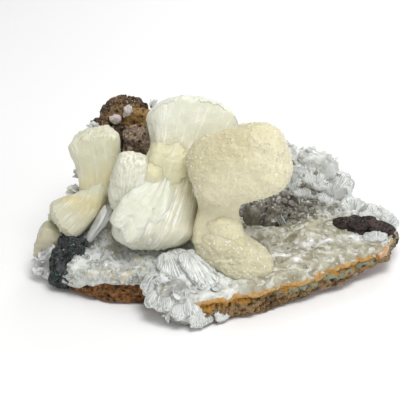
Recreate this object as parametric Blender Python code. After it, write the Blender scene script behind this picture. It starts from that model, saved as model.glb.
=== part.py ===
"""A stilbite specimen: cream bow-tie sheaves on a pale crystal crust, over a slab of weathered basalt.

Lengths below are in millimetres and are turned into metres as each mesh is made. X runs to the right,
Y away from the viewer and Z up. The origin is on the flat spot that the slab rests on.
"""

import itertools
import math

import bmesh
import bpy
import numpy as np

MM = 0.001

# Fit between pieces
SOCKET_GAP = 0.35

# Basalt slab: plan outline, anticlockwise from the corner nearest the viewer
SLAB_CENTRE = (3.0, -2.0)
SLAB_OUTLINE = (
    (-11, -32), (-5, -33.5), (6, -29.5), (20, -23.5), (32, -17), (44, -10), (53, -4.5),
    (56.5, 3), (57, 9), (54, 13), (46, 15), (41.5, 22), (36, 29.5), (22, 33), (8, 33),
    (-6, 34), (-20, 33), (-32, 30), (-41, 24), (-46, 15), (-49, 6), (-51, -2),
    (-50.5, -9), (-46, -14), (-40, -18), (-30, -21.5), (-21, -22), (-16, -27),
)
SLAB_TOP = 8.2
COLUMNS = 42
TOP_RINGS = (0.965, 0.88, 0.79, 0.69, 0.58, 0.46, 0.33, 0.18)
SIDE_RINGS = ((0.93, 0.0), (0.985, 0.12), (1.0, 0.5), (0.965, 1.0))
BOTTOM_RINGS = (0.35, 0.7)
SIDE_ROUGHNESS = 1.1
RIGHT_END_LIFT = (38.0, 0.3)
LEFT_END_LIFT = (-40.0, 0.2)
BACK_LIFT = (24.0, 0.3)

# Rises and hollows of the slab's top: (x, y), (reach in x, reach in y), height, steepness
SLAB_FORMS = (
    ((-30, 2), (19, 12), 8.0, 1.0),
    ((-8, -4), (13, 12), 4.0, 1.0),
    ((30, 29), (13.5, 6.5), 12.5, 2.0),
    ((-2, 33), (24, 8), 12.0, 1.5),
    ((-28, 28), (14, 9), 14.0, 1.5),
    ((14, 13), (13, 7), -6.4, 2.0),
    ((26, 3), (12, 6), 2.0, 1.0),
    ((48, 9), (8, 4), 1.2, 2.0),
)

# Pale crust over the slab
CRUST_THICKNESS = 2.6
CRUST_RELIEF = 1.2
CRUST_LEAST = 1.2
CRUST_ROOT = 1.0
CRUST_CRYSTALS = 12
CRUST_SEED = 7

# Rock lumps that stand through the crust: centre, half sizes, lean in degrees about X, Y and Z
ROCK_LUMPS = (
    ((-28.8, 22.0, 29.0), (9.6, 7.5, 18.0), (0, 2, 8)),
    ((-34.5, 19.0, 37.0), (4.4, 4.0, 4.2), (0, 20, 0)),
    ((-23.2, 15.5, 35.5), (5.2, 4.6, 7.0), (10, 0, 0)),
    ((-10.0, 27.0, 19.0), (12.0, 6.5, 11.0), (0, 12, 0)),
    ((-45.0, -10.2, 9.0), (4.6, 4.6, 8.8), (-18, 22, 0)),
    ((46.0, 3.4, 11.8), (9.8, 3.0, 3.0), (0, 6, -7)),
)
ROCK_LUMP_ROUGHNESS = 1.0

# White crystals that hang over the slab's rim: two at the near corner and one at the left end
RIM_MASSES = (
    ((-13.5, -28.0, 8.0), (7.0, 4.6, 6.6), (20, 0, -35)),
    ((-11.0, -32.0, 4.4), (4.6, 2.8, 4.0), (0, 0, -10)),
    ((-50.4, -3.2, 6.4), (4.9, 8.4, 6.4), (0, 8, 0)),
)

# Large single blades on the crust: foot, direction, length, half width, half thickness, twist
LARGE_BLADES = (
    ((-38.5, -8.5, 15.5), (0.62, -0.1, 0.78), 12.0, 2.6, 0.7, 0.2),
    ((-16.0, -20.0, 9.0), (0.25, -0.5, 0.8), 8.0, 3.4, 1.2, 0.5),
    ((-10.0, -23.0, 8.0), (0.55, -0.65, 0.45), 9.0, 2.6, 1.2, 1.2),
    ((-13.0, -26.0, 5.0), (-0.2, -0.8, 0.4), 7.0, 2.6, 1.2, 0.2),
    ((-6.5, -20.0, 9.0), (0.1, -0.4, 0.9), 6.5, 2.2, 1.0, 2.0),
    ((-26.0, -17.0, 9.0), (-0.3, -0.6, 0.7), 5.5, 1.8, 0.8, 0.8),
    ((-33.0, -14.0, 11.0), (0.1, -0.6, 0.8), 5.0, 1.8, 0.8, 2.2),
    ((22.0, 12.0, 6.0), (-0.3, -0.35, 0.9), 7.5, 2.0, 1.6, 0.4),
    ((34.0, 24.0, 18.0), (0.5, -0.3, 0.8), 7.0, 2.2, 0.8, 0.4),
    ((38.0, 21.0, 14.0), (0.8, -0.4, 0.4), 6.5, 2.0, 0.8, 1.4),
    ((26.0, 24.0, 18.0), (-0.2, -0.6, 0.8), 6.5, 2.2, 0.9, 1.0),
    ((44.0, 12.5, 10.0), (0.5, 0.1, 0.6), 7.0, 2.4, 0.7, 2.4),
)

# Sheaves: centres of the upper end, waist and lower end; half widths and half depths there; how far each end
# bulges, and how crisp its rim is; and the direction of the width at each end
CENTRE_SHEAF = {
    "ends": ((-7.2, 5.5, 46.6), (-11.8, -1.5, 34.5), (-18.6, -10.5, 20.2)),
    "width": (13.8, 8.6, 12.4),
    "depth": (6.4, 6.2, 8.8),
    "domes": (8.6, 6.8),
    "crisp": (0.85, 0.0),
    "sides": ((1, 0.05, -0.2), (1, 0.05, -0.14)),
}
FRONT_STALK = {
    "ends": ((3.0, -12.0, 35.0), (0.6, -12.8, 28.0), (1.6, -15.8, 18.5)),
    "width": (9.0, 6.0, 8.6),
    "depth": (6.0, 4.8, 6.0),
    "domes": (2.0, 3.0),
    "crisp": (0.0, 0.0),
    "sides": ((1, 0, 0), (1, 0, -0.1)),
}
LEFT_SHEAF = {
    "ends": ((-36.6, 4.6, 40.4), (-36.2, 0.6, 27.0), (-42.4, -2.2, 19.4)),
    "width": (7.8, 5.8, 8.4),
    "depth": (6.6, 5.2, 5.8),
    "domes": (4.4, 3.2),
    "crisp": (0.8, 0.5),
    "sides": ((1, 0, 0.22), (1, 0, 0.5)),
}

# Rounded ends and lobes of the sheaves: centre, half sizes, lean in degrees, squareness
SHOULDER = ((-15.4, -3.6, 35.8), (7.0, 5.4, 9.6), (-10, 24, 0), 0.8)
WHITE_LOBE = ((-26.0, -8.6, 34.6), (5.6, 4.8, 9.4), (0, 10, 0), 0.8)
BARREL = ((6.8, -11.8, 42.6), (14.9, 8.4, 11.1), (-24, -18, -4), 0.62)
FOOT = ((4.6, -17.2, 15.4), (11.6, 5.8, 6.2), (0, 27, 0), 0.75)
UNDER_LOBE = ((13.0, -6.5, 32.5), (3.6, 3.2, 3.6), (0, 30, 0), 0.8)
TAN_CRYSTAL = ((-50.0, -3.6, 11.6), (4.8, 4.2, 5.8), (0, 24, 0), 0.6)


def lattice(index, seed):
    """A repeatable number from -1 to 1 at each whole-number point of space."""
    mixed = index[..., 0] * 73856093 ^ index[..., 1] * 19349663 ^ index[..., 2] * 83492791 ^ seed * 2654435
    mixed = (mixed ^ (mixed >> 13)) * 1274126177 & 0x7FFFFFFF
    mixed = (mixed ^ (mixed >> 15)) & 0xFFFFFF
    return mixed / 0x7FFFFF - 1.0


def noise(points, size, seed):
    """Smooth noise from -1 to 1: lattice numbers blended over cells of the given size."""
    scaled = np.asarray(points, float) / size
    cell = np.floor(scaled).astype(np.int64)
    part = scaled - cell
    part = part * part * (3 - 2 * part)
    total = np.zeros(scaled.shape[:-1])
    for corner in itertools.product((0, 1), repeat=3):
        weight = np.prod(np.where(corner, part, 1 - part), axis=-1)
        total += weight * lattice(cell + np.array(corner), seed)
    return total


def rugged(points, size, seed, octaves=2):
    """Noise with finer and fainter noise added to it."""
    return sum(noise(points, size / 2**i, seed + i) / 1.7**i for i in range(octaves))


def bump(x, y, centre, reach, steepness):
    """A smooth hill of height 1 at its centre. Its sides are steeper the larger its steepness."""
    away = ((x - centre[0]) / reach[0]) ** 2 + ((y - centre[1]) / reach[1]) ** 2
    return np.exp(-(away**steepness))


def outline_radius(angle):
    """How far the slab's outline is from its centre in each direction."""
    corners = np.array(SLAB_OUTLINE, float) - SLAB_CENTRE
    directions = np.arctan2(corners[:, 1], corners[:, 0])
    order = np.argsort(directions)
    radii = np.hypot(corners[:, 0], corners[:, 1])
    return np.interp(angle, directions[order], radii[order], period=2 * math.pi)


def slab_top(x, y):
    """Height of the rock under the crust."""
    height = SLAB_TOP + 0.02 * x
    for centre, reach, rise, steepness in SLAB_FORMS:
        height = height + rise * bump(x, y, centre, reach, steepness)
    return height


def slab_bottom(x, y):
    """Height of the underside: flat where it rests, and lifted towards both ends and the back."""
    right = np.maximum(0, x - RIGHT_END_LIFT[0]) * RIGHT_END_LIFT[1]
    left = np.maximum(0, LEFT_END_LIFT[0] - x) * LEFT_END_LIFT[1]
    back = np.maximum(0, y - BACK_LIFT[0]) * BACK_LIFT[1]
    return right + left + back


def ring(share, angle):
    """Plan positions of one ring of the slab, at a share of the outline's radius."""
    radius = share * outline_radius(angle)
    return SLAB_CENTRE[0] + radius * np.cos(angle), SLAB_CENTRE[1] + radius * np.sin(angle)


def top_rings(shares, angle, height, extra=0.0):
    """Rings of points on a height function, as rows."""
    rows = []
    for share in shares:
        x, y = ring(share, angle)
        rows.append(np.stack([x, y, height(x, y) + extra], axis=-1))
    return rows


def closed_skin(name, rows, first_pole, last_pole):
    """A closed mesh object from rows of points that each go once round, with a point at either end."""
    columns = len(rows[0])
    points = np.concatenate([[first_pole], *rows, [last_pole]]) * MM
    faces = []
    last = len(points) - 1
    for j in range(columns):
        k = (j + 1) % columns
        faces.append((0, 1 + k, 1 + j))
        for i in range(len(rows) - 1):
            a, b = 1 + i * columns, 1 + (i + 1) * columns
            faces.append((a + j, a + k, b + k, b + j))
        end = 1 + (len(rows) - 1) * columns
        faces.append((end + j, end + k, last))
    mesh = bpy.data.meshes.new(name)
    mesh.from_pydata([tuple(p) for p in points], [], faces)
    thing = bpy.data.objects.new(name, mesh)
    bpy.context.scene.collection.objects.link(thing)
    made = bmesh.new()
    made.from_mesh(mesh)
    bmesh.ops.triangulate(made, faces=made.faces[:])
    bmesh.ops.recalc_face_normals(made, faces=made.faces[:])
    if made.calc_volume(signed=True) < 0:
        bmesh.ops.reverse_faces(made, faces=made.faces[:])
    made.to_mesh(mesh)
    made.free()
    return thing


def swollen(thing):
    """A copy of an object whose surface is moved outwards by the socket's gap, to cut its neighbours with."""
    mesh = thing.data.copy()
    points = np.empty(len(mesh.vertices) * 3)
    normals = np.empty(len(mesh.vertices) * 3)
    mesh.vertices.foreach_get("co", points)
    mesh.vertex_normals.foreach_get("vector", normals)
    mesh.vertices.foreach_set("co", points + normals * SOCKET_GAP * MM)
    copy = bpy.data.objects.new(thing.name + "_socket", mesh)
    copy.hide_render = True
    copy.display_type = "WIRE"
    bpy.context.scene.collection.objects.link(copy)
    return copy


def apply_boolean(thing, other, operation):
    """Joins another object to this one, or cuts it away."""
    modifier = thing.modifiers.new(operation.title(), "BOOLEAN")
    modifier.operation = operation
    modifier.solver = "EXACT"
    modifier.use_self = operation == "UNION"
    modifier.object = other
    bpy.context.view_layer.update()
    evaluated = thing.evaluated_get(bpy.context.evaluated_depsgraph_get())
    thing.data = bpy.data.meshes.new_from_object(evaluated)
    thing.modifiers.clear()
    thing.data.name = thing.name


def join(forms):
    """One solid from overlapping forms that grew together."""
    first, *others = forms
    for other in others:
        apply_boolean(first, other, "UNION")
        bpy.data.objects.remove(other)
    return first


def cut(thing, sockets):
    """Makes room in a piece for its neighbours."""
    for socket in sockets:
        apply_boolean(thing, socket, "DIFFERENCE")
    keep_main_body(thing)


def keep_main_body(thing):
    """Merges coincident points and removes chips that a cut has parted from the piece."""
    made = bmesh.new()
    made.from_mesh(thing.data)
    bmesh.ops.remove_doubles(made, verts=made.verts[:], dist=0.005 * MM)
    waiting = set(made.verts)
    islands = []
    while waiting:
        island, front = set(), [waiting.pop()]
        while front:
            vertex = front.pop()
            island.add(vertex)
            for edge in vertex.link_edges:
                neighbour = edge.other_vert(vertex)
                if neighbour in waiting:
                    waiting.discard(neighbour)
                    front.append(neighbour)
        islands.append(island)
    main = max(islands, key=len)
    for island in islands:
        if island is not main:
            bmesh.ops.delete(made, geom=list(island), context="VERTS")
    made.to_mesh(thing.data)
    made.free()


def shape_grid(rows, columns):
    """Angles along and around a closed form: from one pole to the other, and once round."""
    along = np.linspace(0, math.pi, rows + 2)[1:-1, None]
    around = np.linspace(0, 2 * math.pi, columns, endpoint=False)[None, :]
    return along, around


def signed_power(value, power):
    return np.sign(value) * np.abs(value) ** power


def turned(points, lean):
    """Points turned about X, then Y, then Z, by degrees."""
    x, y, z = (math.radians(a) for a in lean)
    about_x = np.array([[1, 0, 0], [0, math.cos(x), -math.sin(x)], [0, math.sin(x), math.cos(x)]])
    about_y = np.array([[math.cos(y), 0, math.sin(y)], [0, 1, 0], [-math.sin(y), 0, math.cos(y)]])
    about_z = np.array([[math.cos(z), -math.sin(z), 0], [math.sin(z), math.cos(z), 0], [0, 0, 1]])
    return points @ (about_z @ about_y @ about_x).T


def block(name, centre, half, lean, boxy=0.75, roughness=0.4, size=3.0, seed=1, rows=8, columns=16):
    """A rounded block: an ellipsoid with squared-off sides, pushed in and out by noise."""
    along, around = shape_grid(rows, columns)
    x = half[0] * signed_power(np.sin(along), boxy) * signed_power(np.cos(around), boxy)
    y = half[1] * signed_power(np.sin(along), boxy) * signed_power(np.sin(around), boxy)
    z = half[2] * signed_power(np.cos(along), boxy) + 0 * around
    points = turned(np.stack([x, y, z], axis=-1), lean) + centre
    outward = points - np.array(centre)
    outward /= np.linalg.norm(outward, axis=-1, keepdims=True)
    points = points + outward * (roughness * rugged(points, size, seed))[..., None]
    top = turned(np.array([0, 0, half[2]], float), lean) + centre
    bottom = turned(np.array([0, 0, -half[2]], float), lean) + centre
    return closed_skin(name, list(points), top, bottom)


def spine_point(ends, share):
    """A point on the smooth curve through a sheaf's upper end, waist and lower end."""
    upper, waist, lower = (np.array(p, float) for p in ends)
    middle = 2 * waist - (upper + lower) / 2
    share = np.asarray(share, float)[..., None]
    return upper * (1 - share) ** 2 + 2 * middle * share * (1 - share) + lower * share**2


def fan_size(share, sizes):
    """Half size along a sheaf: it opens out from the waist towards each end."""
    upper, waist, lower = sizes
    from_waist = np.abs(2 * share - 1)
    end = np.where(share < 0.5, upper, lower)
    return waist + (end - waist) * from_waist**1.35


def sheaf(name, ends, width, depth, domes, sides, crisp, tips=0.5, seed=3, columns=26, body_rows=7, boxy=0.66):
    """A bow-tie sheaf: a bundle of blades, narrow at its waist, that fans out to an arched end each way.

    A crisp end is an arch across the width only, with a sharp rim: 0 is a dome, and 1 is like a fan.
    """
    around = np.linspace(0, 2 * math.pi, columns, endpoint=False)
    across = signed_power(np.cos(around), boxy)
    front = signed_power(np.sin(around), boxy)
    blade_ends = tips * noise(np.stack([np.cos(around), np.sin(around), 0 * around], -1), 0.2, seed)
    cap = (0.3, 0.58, 0.82, 0.95)
    profile = [(0.0, r) for r in (0.0, *cap)]
    profile += [(s, 1.0) for s in np.linspace(0, 1, body_rows)]
    profile += [(1.0, r) for r in (*cap[::-1], 0.0)]
    rows = []
    for share, scale in profile:
        ahead = spine_point(ends, max(share - 0.02, 0)) - spine_point(ends, min(share + 0.02, 1))
        ahead /= np.linalg.norm(ahead)
        wide = np.array(sides[0]) * (1 - share) + np.array(sides[1]) * share
        wide /= np.linalg.norm(wide)
        deep = np.cross(ahead, wide)
        deep /= np.linalg.norm(deep)
        from_waist = abs(2 * share - 1)
        height, arch = (domes[0], crisp[0]) if share < 0.5 else (-domes[1], crisp[1])
        inside = arch * (1 - np.abs(across * scale) ** 2.2) + (1 - arch) * (1 - scale**2.2)
        rise = height * from_waist**2.5 * np.sqrt(np.maximum(0, inside))
        half_width = fan_size(share, width) + blade_ends * from_waist
        half_depth = fan_size(share, depth) + blade_ends * from_waist
        row = spine_point(ends, share) + np.outer(rise, ahead)
        row = row + np.outer(across * scale * half_width, wide) + np.outer(front * scale * half_depth, deep)
        rows.append(row + np.outer(blade_ends * from_waist * scale * np.sign(1 - 2 * share), ahead))
    return closed_skin(name, rows[1:-1], rows[0][0], rows[-1][0])


def blade(foot, direction, length, width, thickness, twist):
    """Corners and faces of one flat crystal with bevelled sides and a wedge-shaped tip."""
    ahead = np.array(direction, float)
    ahead /= np.linalg.norm(ahead)
    other = np.array([0.0, 0.0, 1.0]) if abs(ahead[2]) < 0.8 else np.array([1.0, 0.0, 0.0])
    wide = np.cross(ahead, other)
    wide /= np.linalg.norm(wide)
    flat = np.cross(ahead, wide)
    wide, flat = (
        wide * math.cos(twist) + flat * math.sin(twist),
        flat * math.cos(twist) - wide * math.sin(twist),
    )
    section = ((1, 0), (0.55, 1), (-0.55, 1), (-1, 0), (-0.55, -1), (0.55, -1))
    corners = [
        np.array(foot) + ahead * at + wide * a * width * w + flat * b * thickness
        for at, w in ((0, 0.85), (length * 0.72, 1.0))
        for a, b in section
    ]
    corners += [np.array(foot) + ahead * length + wide * a * width * 0.4 for a in (1, -1)]
    faces = [tuple(range(5, -1, -1))]
    faces += [(i, (i + 1) % 6, 6 + (i + 1) % 6, 6 + i) for i in range(6)]
    faces += [(6, 7, 12), (7, 8, 13, 12), (8, 9, 13), (9, 10, 13), (10, 11, 12, 13), (11, 6, 12)]
    return corners, faces


def crystals(name, blades):
    """One mesh object that holds many blades."""
    points, faces = [], []
    for spec in blades:
        corners, sides = blade(*spec)
        faces += [tuple(i + len(points) for i in side) for side in sides]
        points += corners
    mesh = bpy.data.meshes.new(name)
    mesh.from_pydata([tuple(p * MM) for p in points], [], faces)
    thing = bpy.data.objects.new(name, mesh)
    bpy.context.scene.collection.objects.link(thing)
    made = bmesh.new()
    made.from_mesh(mesh)
    bmesh.ops.triangulate(made, faces=made.faces[:])
    bmesh.ops.recalc_face_normals(made, faces=made.faces[:])
    made.to_mesh(mesh)
    made.free()
    return thing


def crust_top(x, y):
    """Height of the crust's surface. It is as thick on a steep face as on a level one."""
    place = np.stack([x, y, 0 * x], axis=-1)
    slope_x = slab_top(x + 0.5, y) - slab_top(x - 0.5, y)
    slope_y = slab_top(x, y + 0.5) - slab_top(x, y - 0.5)
    thickness = np.maximum(CRUST_LEAST, CRUST_THICKNESS + CRUST_RELIEF * rugged(place, 7.0, 11))
    return slab_top(x, y) + thickness * np.minimum(2.0, np.sqrt(1 + slope_x**2 + slope_y**2))


def finish(thing, colour, roughness):
    """Gives a piece its own material."""
    material = bpy.data.materials.new(thing.name + "_finish")
    material.use_nodes = True
    shader = material.node_tree.nodes["Principled BSDF"]
    shader.inputs["Base Color"].default_value = (*colour, 1)
    shader.inputs["Roughness"].default_value = roughness
    shader.inputs["Metallic"].default_value = 0.0
    thing.data.materials.clear()
    thing.data.materials.append(material)


def make_slab(angle):
    """The basalt slab, with a flat spot underneath."""
    rows = []
    for share in BOTTOM_RINGS:
        x, y = ring(share, angle)
        rows.append(np.stack([x, y, slab_bottom(x, y)], axis=-1))
    outward = np.stack([np.cos(angle), np.sin(angle), 0 * angle], axis=-1)
    for share, level in SIDE_RINGS:
        x, y = ring(share, angle)
        low, high = slab_bottom(x, y), slab_top(x, y)
        row = np.stack([x, y, low + (high - low) * level], axis=-1)
        if 0 < level < 1:
            row += outward * (SIDE_ROUGHNESS * rugged(row, 5.0, 5))[:, None]
        rows.append(row)
    rows += top_rings(TOP_RINGS[1:], angle, slab_top)
    x, y = SLAB_CENTRE
    return closed_skin("basalt_matrix", rows, (x, y, slab_bottom(x, y)), (x, y, slab_top(x, y)))


def make_crust(angle):
    """The pale layer of small crystals. It reaches into the slab, and is cut to fit it afterwards."""
    rows = top_rings(TOP_RINGS[::-1], angle, slab_top, -CRUST_ROOT)
    rows += top_rings((0.955, *TOP_RINGS[1:]), angle, crust_top)
    x, y = np.array(SLAB_CENTRE)
    return closed_skin("crystal_crust", rows, (x, y, slab_top(x, y) - CRUST_ROOT), (x, y, crust_top(x, y)))


def small_blades(obstacles):
    """Small crystals that stand on the crust, away from the sheaves and lumps."""
    random = np.random.default_rng(CRUST_SEED)
    blades = []
    while len(blades) < CRUST_CRYSTALS:
        angle = random.uniform(0, 2 * math.pi)
        x, y = ring(math.sqrt(random.uniform(0.02, 0.84)), angle)
        tilt = random.uniform(-0.55, 0.55, 2)
        length, width, twist = random.uniform((2.8, 0.9, 0), (4.4, 1.6, math.pi))
        near_lump = any(
            math.hypot((x - centre[0]) / (half[0] + 2.4), (y - centre[1]) / (half[1] + 2.4)) < 1
            for centre, half in obstacles
        )
        near_blade = any(math.dist((x, y), other[0][:2]) < 3.8 for other in blades)
        if near_lump or near_blade:
            continue
        height = float(crust_top(np.array(x), np.array(y)))
        blades.append(((x, y, height - 1.2), (*tilt, 1.0), length, width, width * 0.5, twist))
    return blades


def build():
    for thing in list(bpy.data.objects):
        bpy.data.objects.remove(thing)
    angle = np.linspace(0, 2 * math.pi, COLUMNS, endpoint=False)

    lumps = [
        block(f"rock_lump_{i}", *lump, 0.8, ROCK_LUMP_ROUGHNESS, 4.0, 20 + i, rows=6, columns=12)
        for i, lump in enumerate(ROCK_LUMPS)
    ]
    centre_forms = [
        sheaf("centre_sheaf", **CENTRE_SHEAF, seed=31, columns=26, body_rows=7),
        block("shoulder", *SHOULDER, seed=41),
        block("white_lobe", *WHITE_LOBE, seed=42, rows=6, columns=14),
    ]
    front_forms = [
        block("front_sheaf", *BARREL, roughness=0.5, seed=51, rows=9, columns=22),
        sheaf("stalk", **FRONT_STALK, seed=52, columns=20, body_rows=5),
        block("foot", *FOOT, seed=53, rows=8, columns=18),
        block("under_lobe", *UNDER_LOBE, seed=54, rows=5, columns=10),
    ]
    left_forms = [sheaf("left_sheaf", **LEFT_SHEAF, seed=61, columns=22, body_rows=6)]
    tan_forms = [block("tan_crystal", *TAN_CRYSTAL, roughness=0.3, seed=71, rows=7, columns=14)]

    lump_sockets = [swollen(form) for form in lumps]
    centre_sockets = [swollen(form) for form in centre_forms]
    front_sockets = [swollen(form) for form in front_forms]
    left_sockets = [swollen(form) for form in left_forms]
    tan_sockets = [swollen(form) for form in tan_forms]
    sheaf_sockets = centre_sockets + front_sockets + left_sockets + tan_sockets

    slab = make_slab(angle)
    slab_socket = swollen(slab)
    masses = [block(f"rim_mass_{i}", *mass, seed=80 + i) for i, mass in enumerate(RIM_MASSES)]
    obstacles = [(lump[0], lump[1]) for lump in ROCK_LUMPS]
    blades = crystals("blades", [*LARGE_BLADES, *small_blades(obstacles)])
    crust = join([make_crust(angle), *masses, blades])
    cut(crust, [slab_socket, *lump_sockets, *sheaf_sockets])

    matrix = join([slab, *lumps])
    cut(matrix, sheaf_sockets)
    centre, front, left, tan = (join(forms) for forms in (centre_forms, front_forms, left_forms, tan_forms))
    cut(centre, front_sockets)
    cut(left, centre_sockets + tan_sockets)

    for socket in [slab_socket, *lump_sockets, *sheaf_sockets]:
        bpy.data.objects.remove(socket)
    finish(matrix, (0.26, 0.15, 0.07), 0.9)
    finish(crust, (0.72, 0.73, 0.66), 0.35)
    finish(centre, (0.86, 0.81, 0.56), 0.45)
    finish(front, (0.84, 0.78, 0.54), 0.5)
    finish(left, (0.85, 0.80, 0.57), 0.45)
    finish(tan, (0.70, 0.64, 0.44), 0.5)


build()
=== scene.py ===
# %% [markdown]
# # A stilbite specimen, surface by surface
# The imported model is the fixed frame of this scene: six solids for the slab of basalt, its pale crust of
# small crystals, three bow-tie sheaves of stilbite and one tan crystal. The solids have the right places
# and sizes but plain skins. Each cell below works out one fine skin with numpy, gives it a finish, and puts
# it over its solid.

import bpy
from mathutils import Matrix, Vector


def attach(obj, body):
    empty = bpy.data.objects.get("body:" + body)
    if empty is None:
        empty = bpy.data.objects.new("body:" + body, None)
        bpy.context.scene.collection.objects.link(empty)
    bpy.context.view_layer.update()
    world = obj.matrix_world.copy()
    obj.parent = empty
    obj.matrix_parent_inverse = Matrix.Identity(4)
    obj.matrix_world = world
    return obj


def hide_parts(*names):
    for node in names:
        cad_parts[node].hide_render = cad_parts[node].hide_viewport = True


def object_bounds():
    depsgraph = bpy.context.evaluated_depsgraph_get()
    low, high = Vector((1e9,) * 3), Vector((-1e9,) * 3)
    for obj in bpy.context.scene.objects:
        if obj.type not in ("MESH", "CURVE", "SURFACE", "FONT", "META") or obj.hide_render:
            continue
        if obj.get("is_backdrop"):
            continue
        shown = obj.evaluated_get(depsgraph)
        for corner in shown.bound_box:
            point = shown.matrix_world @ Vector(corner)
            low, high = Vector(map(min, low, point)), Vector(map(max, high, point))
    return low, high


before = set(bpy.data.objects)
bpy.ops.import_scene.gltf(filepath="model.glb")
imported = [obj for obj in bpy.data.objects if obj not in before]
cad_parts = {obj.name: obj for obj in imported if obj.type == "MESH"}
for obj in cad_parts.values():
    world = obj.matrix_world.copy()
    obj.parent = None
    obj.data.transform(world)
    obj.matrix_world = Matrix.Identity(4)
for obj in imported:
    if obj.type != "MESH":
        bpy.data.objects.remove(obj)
cad_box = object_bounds()
print("solids:", sorted(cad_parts))

# %% [markdown]
# ## Units, camera and light
# Lengths are in millimetres until a mesh is made, because a mineral is measured that way. The camera looks
# down at the specimen by thirty degrees through a long lens. The light is that of a photographer's white
# tent: one broad lamp above and in front, a weaker one at the right, one behind, and a white surround. A
# hard lamp would give black shadows between the crystals, which real translucent minerals don't have.

# %% Camera
import itertools
import math

import bpy
import numpy as np
from mathutils import Vector

MM = 0.001
scene = bpy.context.scene

VIEW_TARGET = (-2.4, 0.0, 21.2)
VIEW_DISTANCE = 500.0
VIEW_ELEVATION = math.radians(30)
LENS = 141.6
SENSOR = 36.0
SURROUND_STRENGTH = 0.46

lens = bpy.data.cameras.new("camera")
lens.lens = LENS
lens.sensor_width = SENSOR
camera = bpy.data.objects.new("camera", lens)
away = Vector((0, -math.cos(VIEW_ELEVATION), math.sin(VIEW_ELEVATION)))
camera.location = (Vector(VIEW_TARGET) + away * VIEW_DISTANCE) * MM
camera.rotation_euler = (-away).to_track_quat("-Z", "Y").to_euler()
scene.collection.objects.link(camera)
scene.camera = camera
print("camera at", [round(c, 3) for c in camera.location])


# %% Floor, lamps and surround
def lamp(name, place, width, power):
    """A square soft lamp at a place in millimetres, aimed at the middle of the specimen."""
    data = bpy.data.lights.new(name, "AREA")
    data.size = width * MM
    data.energy = power
    thing = bpy.data.objects.new(name, data)
    thing.location = Vector(place) * MM
    thing.rotation_euler = (Vector(VIEW_TARGET) - Vector(place)).to_track_quat("-Z", "Y").to_euler()
    scene.collection.objects.link(thing)


lamp("key_lamp", (60, -160, 440), 200, 1.25)
lamp("side_lamp", (380, -200, 160), 300, 0.32)
lamp("back_lamp", (120, 320, 260), 220, 0.4)

world = bpy.data.worlds.new("surround")
scene.world = world
world.use_nodes = True
surround = world.node_tree.nodes["Background"].inputs
surround["Color"].default_value = (1.0, 1.0, 1.0, 1.0)
surround["Strength"].default_value = SURROUND_STRENGTH
scene.view_settings.view_transform = "Standard"

FLOOR_HALF = 1500.0
FLOOR_SIGNS = ((-1, -1), (1, -1), (1, 1), (-1, 1))
floor_mesh = bpy.data.meshes.new("floor")
floor_corners = [(x * FLOOR_HALF * MM, y * FLOOR_HALF * MM, 0) for x, y in FLOOR_SIGNS]
floor_mesh.from_pydata(floor_corners, [], [(0, 1, 2, 3)])
floor = bpy.data.objects.new("floor", floor_mesh)
scene.collection.objects.link(floor)
floor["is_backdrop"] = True

# %% [markdown]
# ## Noise
# Rock and crystal are irregular in a regular way, and two kinds of noise describe most of it. Value noise
# blends random numbers held by the corners of a cell, which gives soft hills. Cellular noise scatters one
# point in each cell and measures how far the nearest ones are, which gives grains, pits and facets. Both
# are computed for whole arrays of points at once, and a seed makes them come out the same each time.


# %% Value noise and cellular noise
def lattice(index, seed):
    """A repeatable number from -1 to 1 at each whole-number point of space."""
    mixed = index[..., 0] * 73856093 ^ index[..., 1] * 19349663 ^ index[..., 2] * 83492791 ^ seed * 2654435
    mixed = (mixed ^ (mixed >> 13)) * 1274126177 & 0x7FFFFFFF
    mixed = (mixed ^ (mixed >> 15)) & 0xFFFFFF
    return mixed / 0x7FFFFF - 1.0


def noise(points, size, seed):
    """Smooth noise from -1 to 1: corner numbers blended over cells of the given size."""
    scaled = np.asarray(points, float) / size
    cell = np.floor(scaled).astype(np.int64)
    part = scaled - cell
    part = part * part * (3 - 2 * part)
    total = np.zeros(scaled.shape[:-1])
    for corner in itertools.product((0, 1), repeat=3):
        weight = np.prod(np.where(corner, part, 1 - part), axis=-1)
        total += weight * lattice(cell + np.array(corner), seed)
    return total


def rugged(points, size, seed, octaves=2):
    """Noise with finer and fainter noise added to it."""
    return sum(noise(points, size / 2**i, seed + i) / 1.7**i for i in range(octaves))


def ridged(points, size, seed, octaves=3):
    """Noise folded at zero, so that it has sharp crests: 1 on a crest and lower beside it."""
    return sum((1 - 2 * np.abs(noise(points, size / 2**i, seed + i))) / 2**i for i in range(octaves))


def cellular(points, size, seed):
    """The nearest scattered point's distance, the second's, the offset from the nearest and its number."""
    scaled = np.asarray(points, float) / size
    cell = np.floor(scaled).astype(np.int64)
    nearest = np.full(scaled.shape[:-1], 9.0)
    second = nearest.copy()
    offset = np.zeros(scaled.shape)
    number = np.zeros(scaled.shape[:-1])
    for step in itertools.product((-1, 0, 1), repeat=3):
        corner = cell + np.array(step)
        jitter = np.stack([lattice(corner, seed + k) for k in range(3)], axis=-1)
        towards = scaled - (corner + 0.5 + 0.45 * jitter)
        distance = np.linalg.norm(towards, axis=-1)
        closer = distance < nearest
        second = np.where(closer, nearest, np.minimum(second, distance))
        nearest = np.where(closer, distance, nearest)
        offset = np.where(closer[..., None], towards, offset)
        number = np.where(closer, lattice(corner, seed + 5), number)
    return nearest, second, offset, number


def facets(points, size, seed, tilt=0.8):
    """Relief of a druse: each scattered point carries a small plane that leans its own way."""
    nearest, second, offset, number = cellular(points, size, seed)
    angle = number * 9.7
    lean = np.stack([np.cos(angle), np.sin(angle), np.cos(angle * 1.7 + 1.0)], axis=-1)
    return tilt * np.sum(lean * offset, axis=-1) + np.minimum(0.25, second - nearest)


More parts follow.
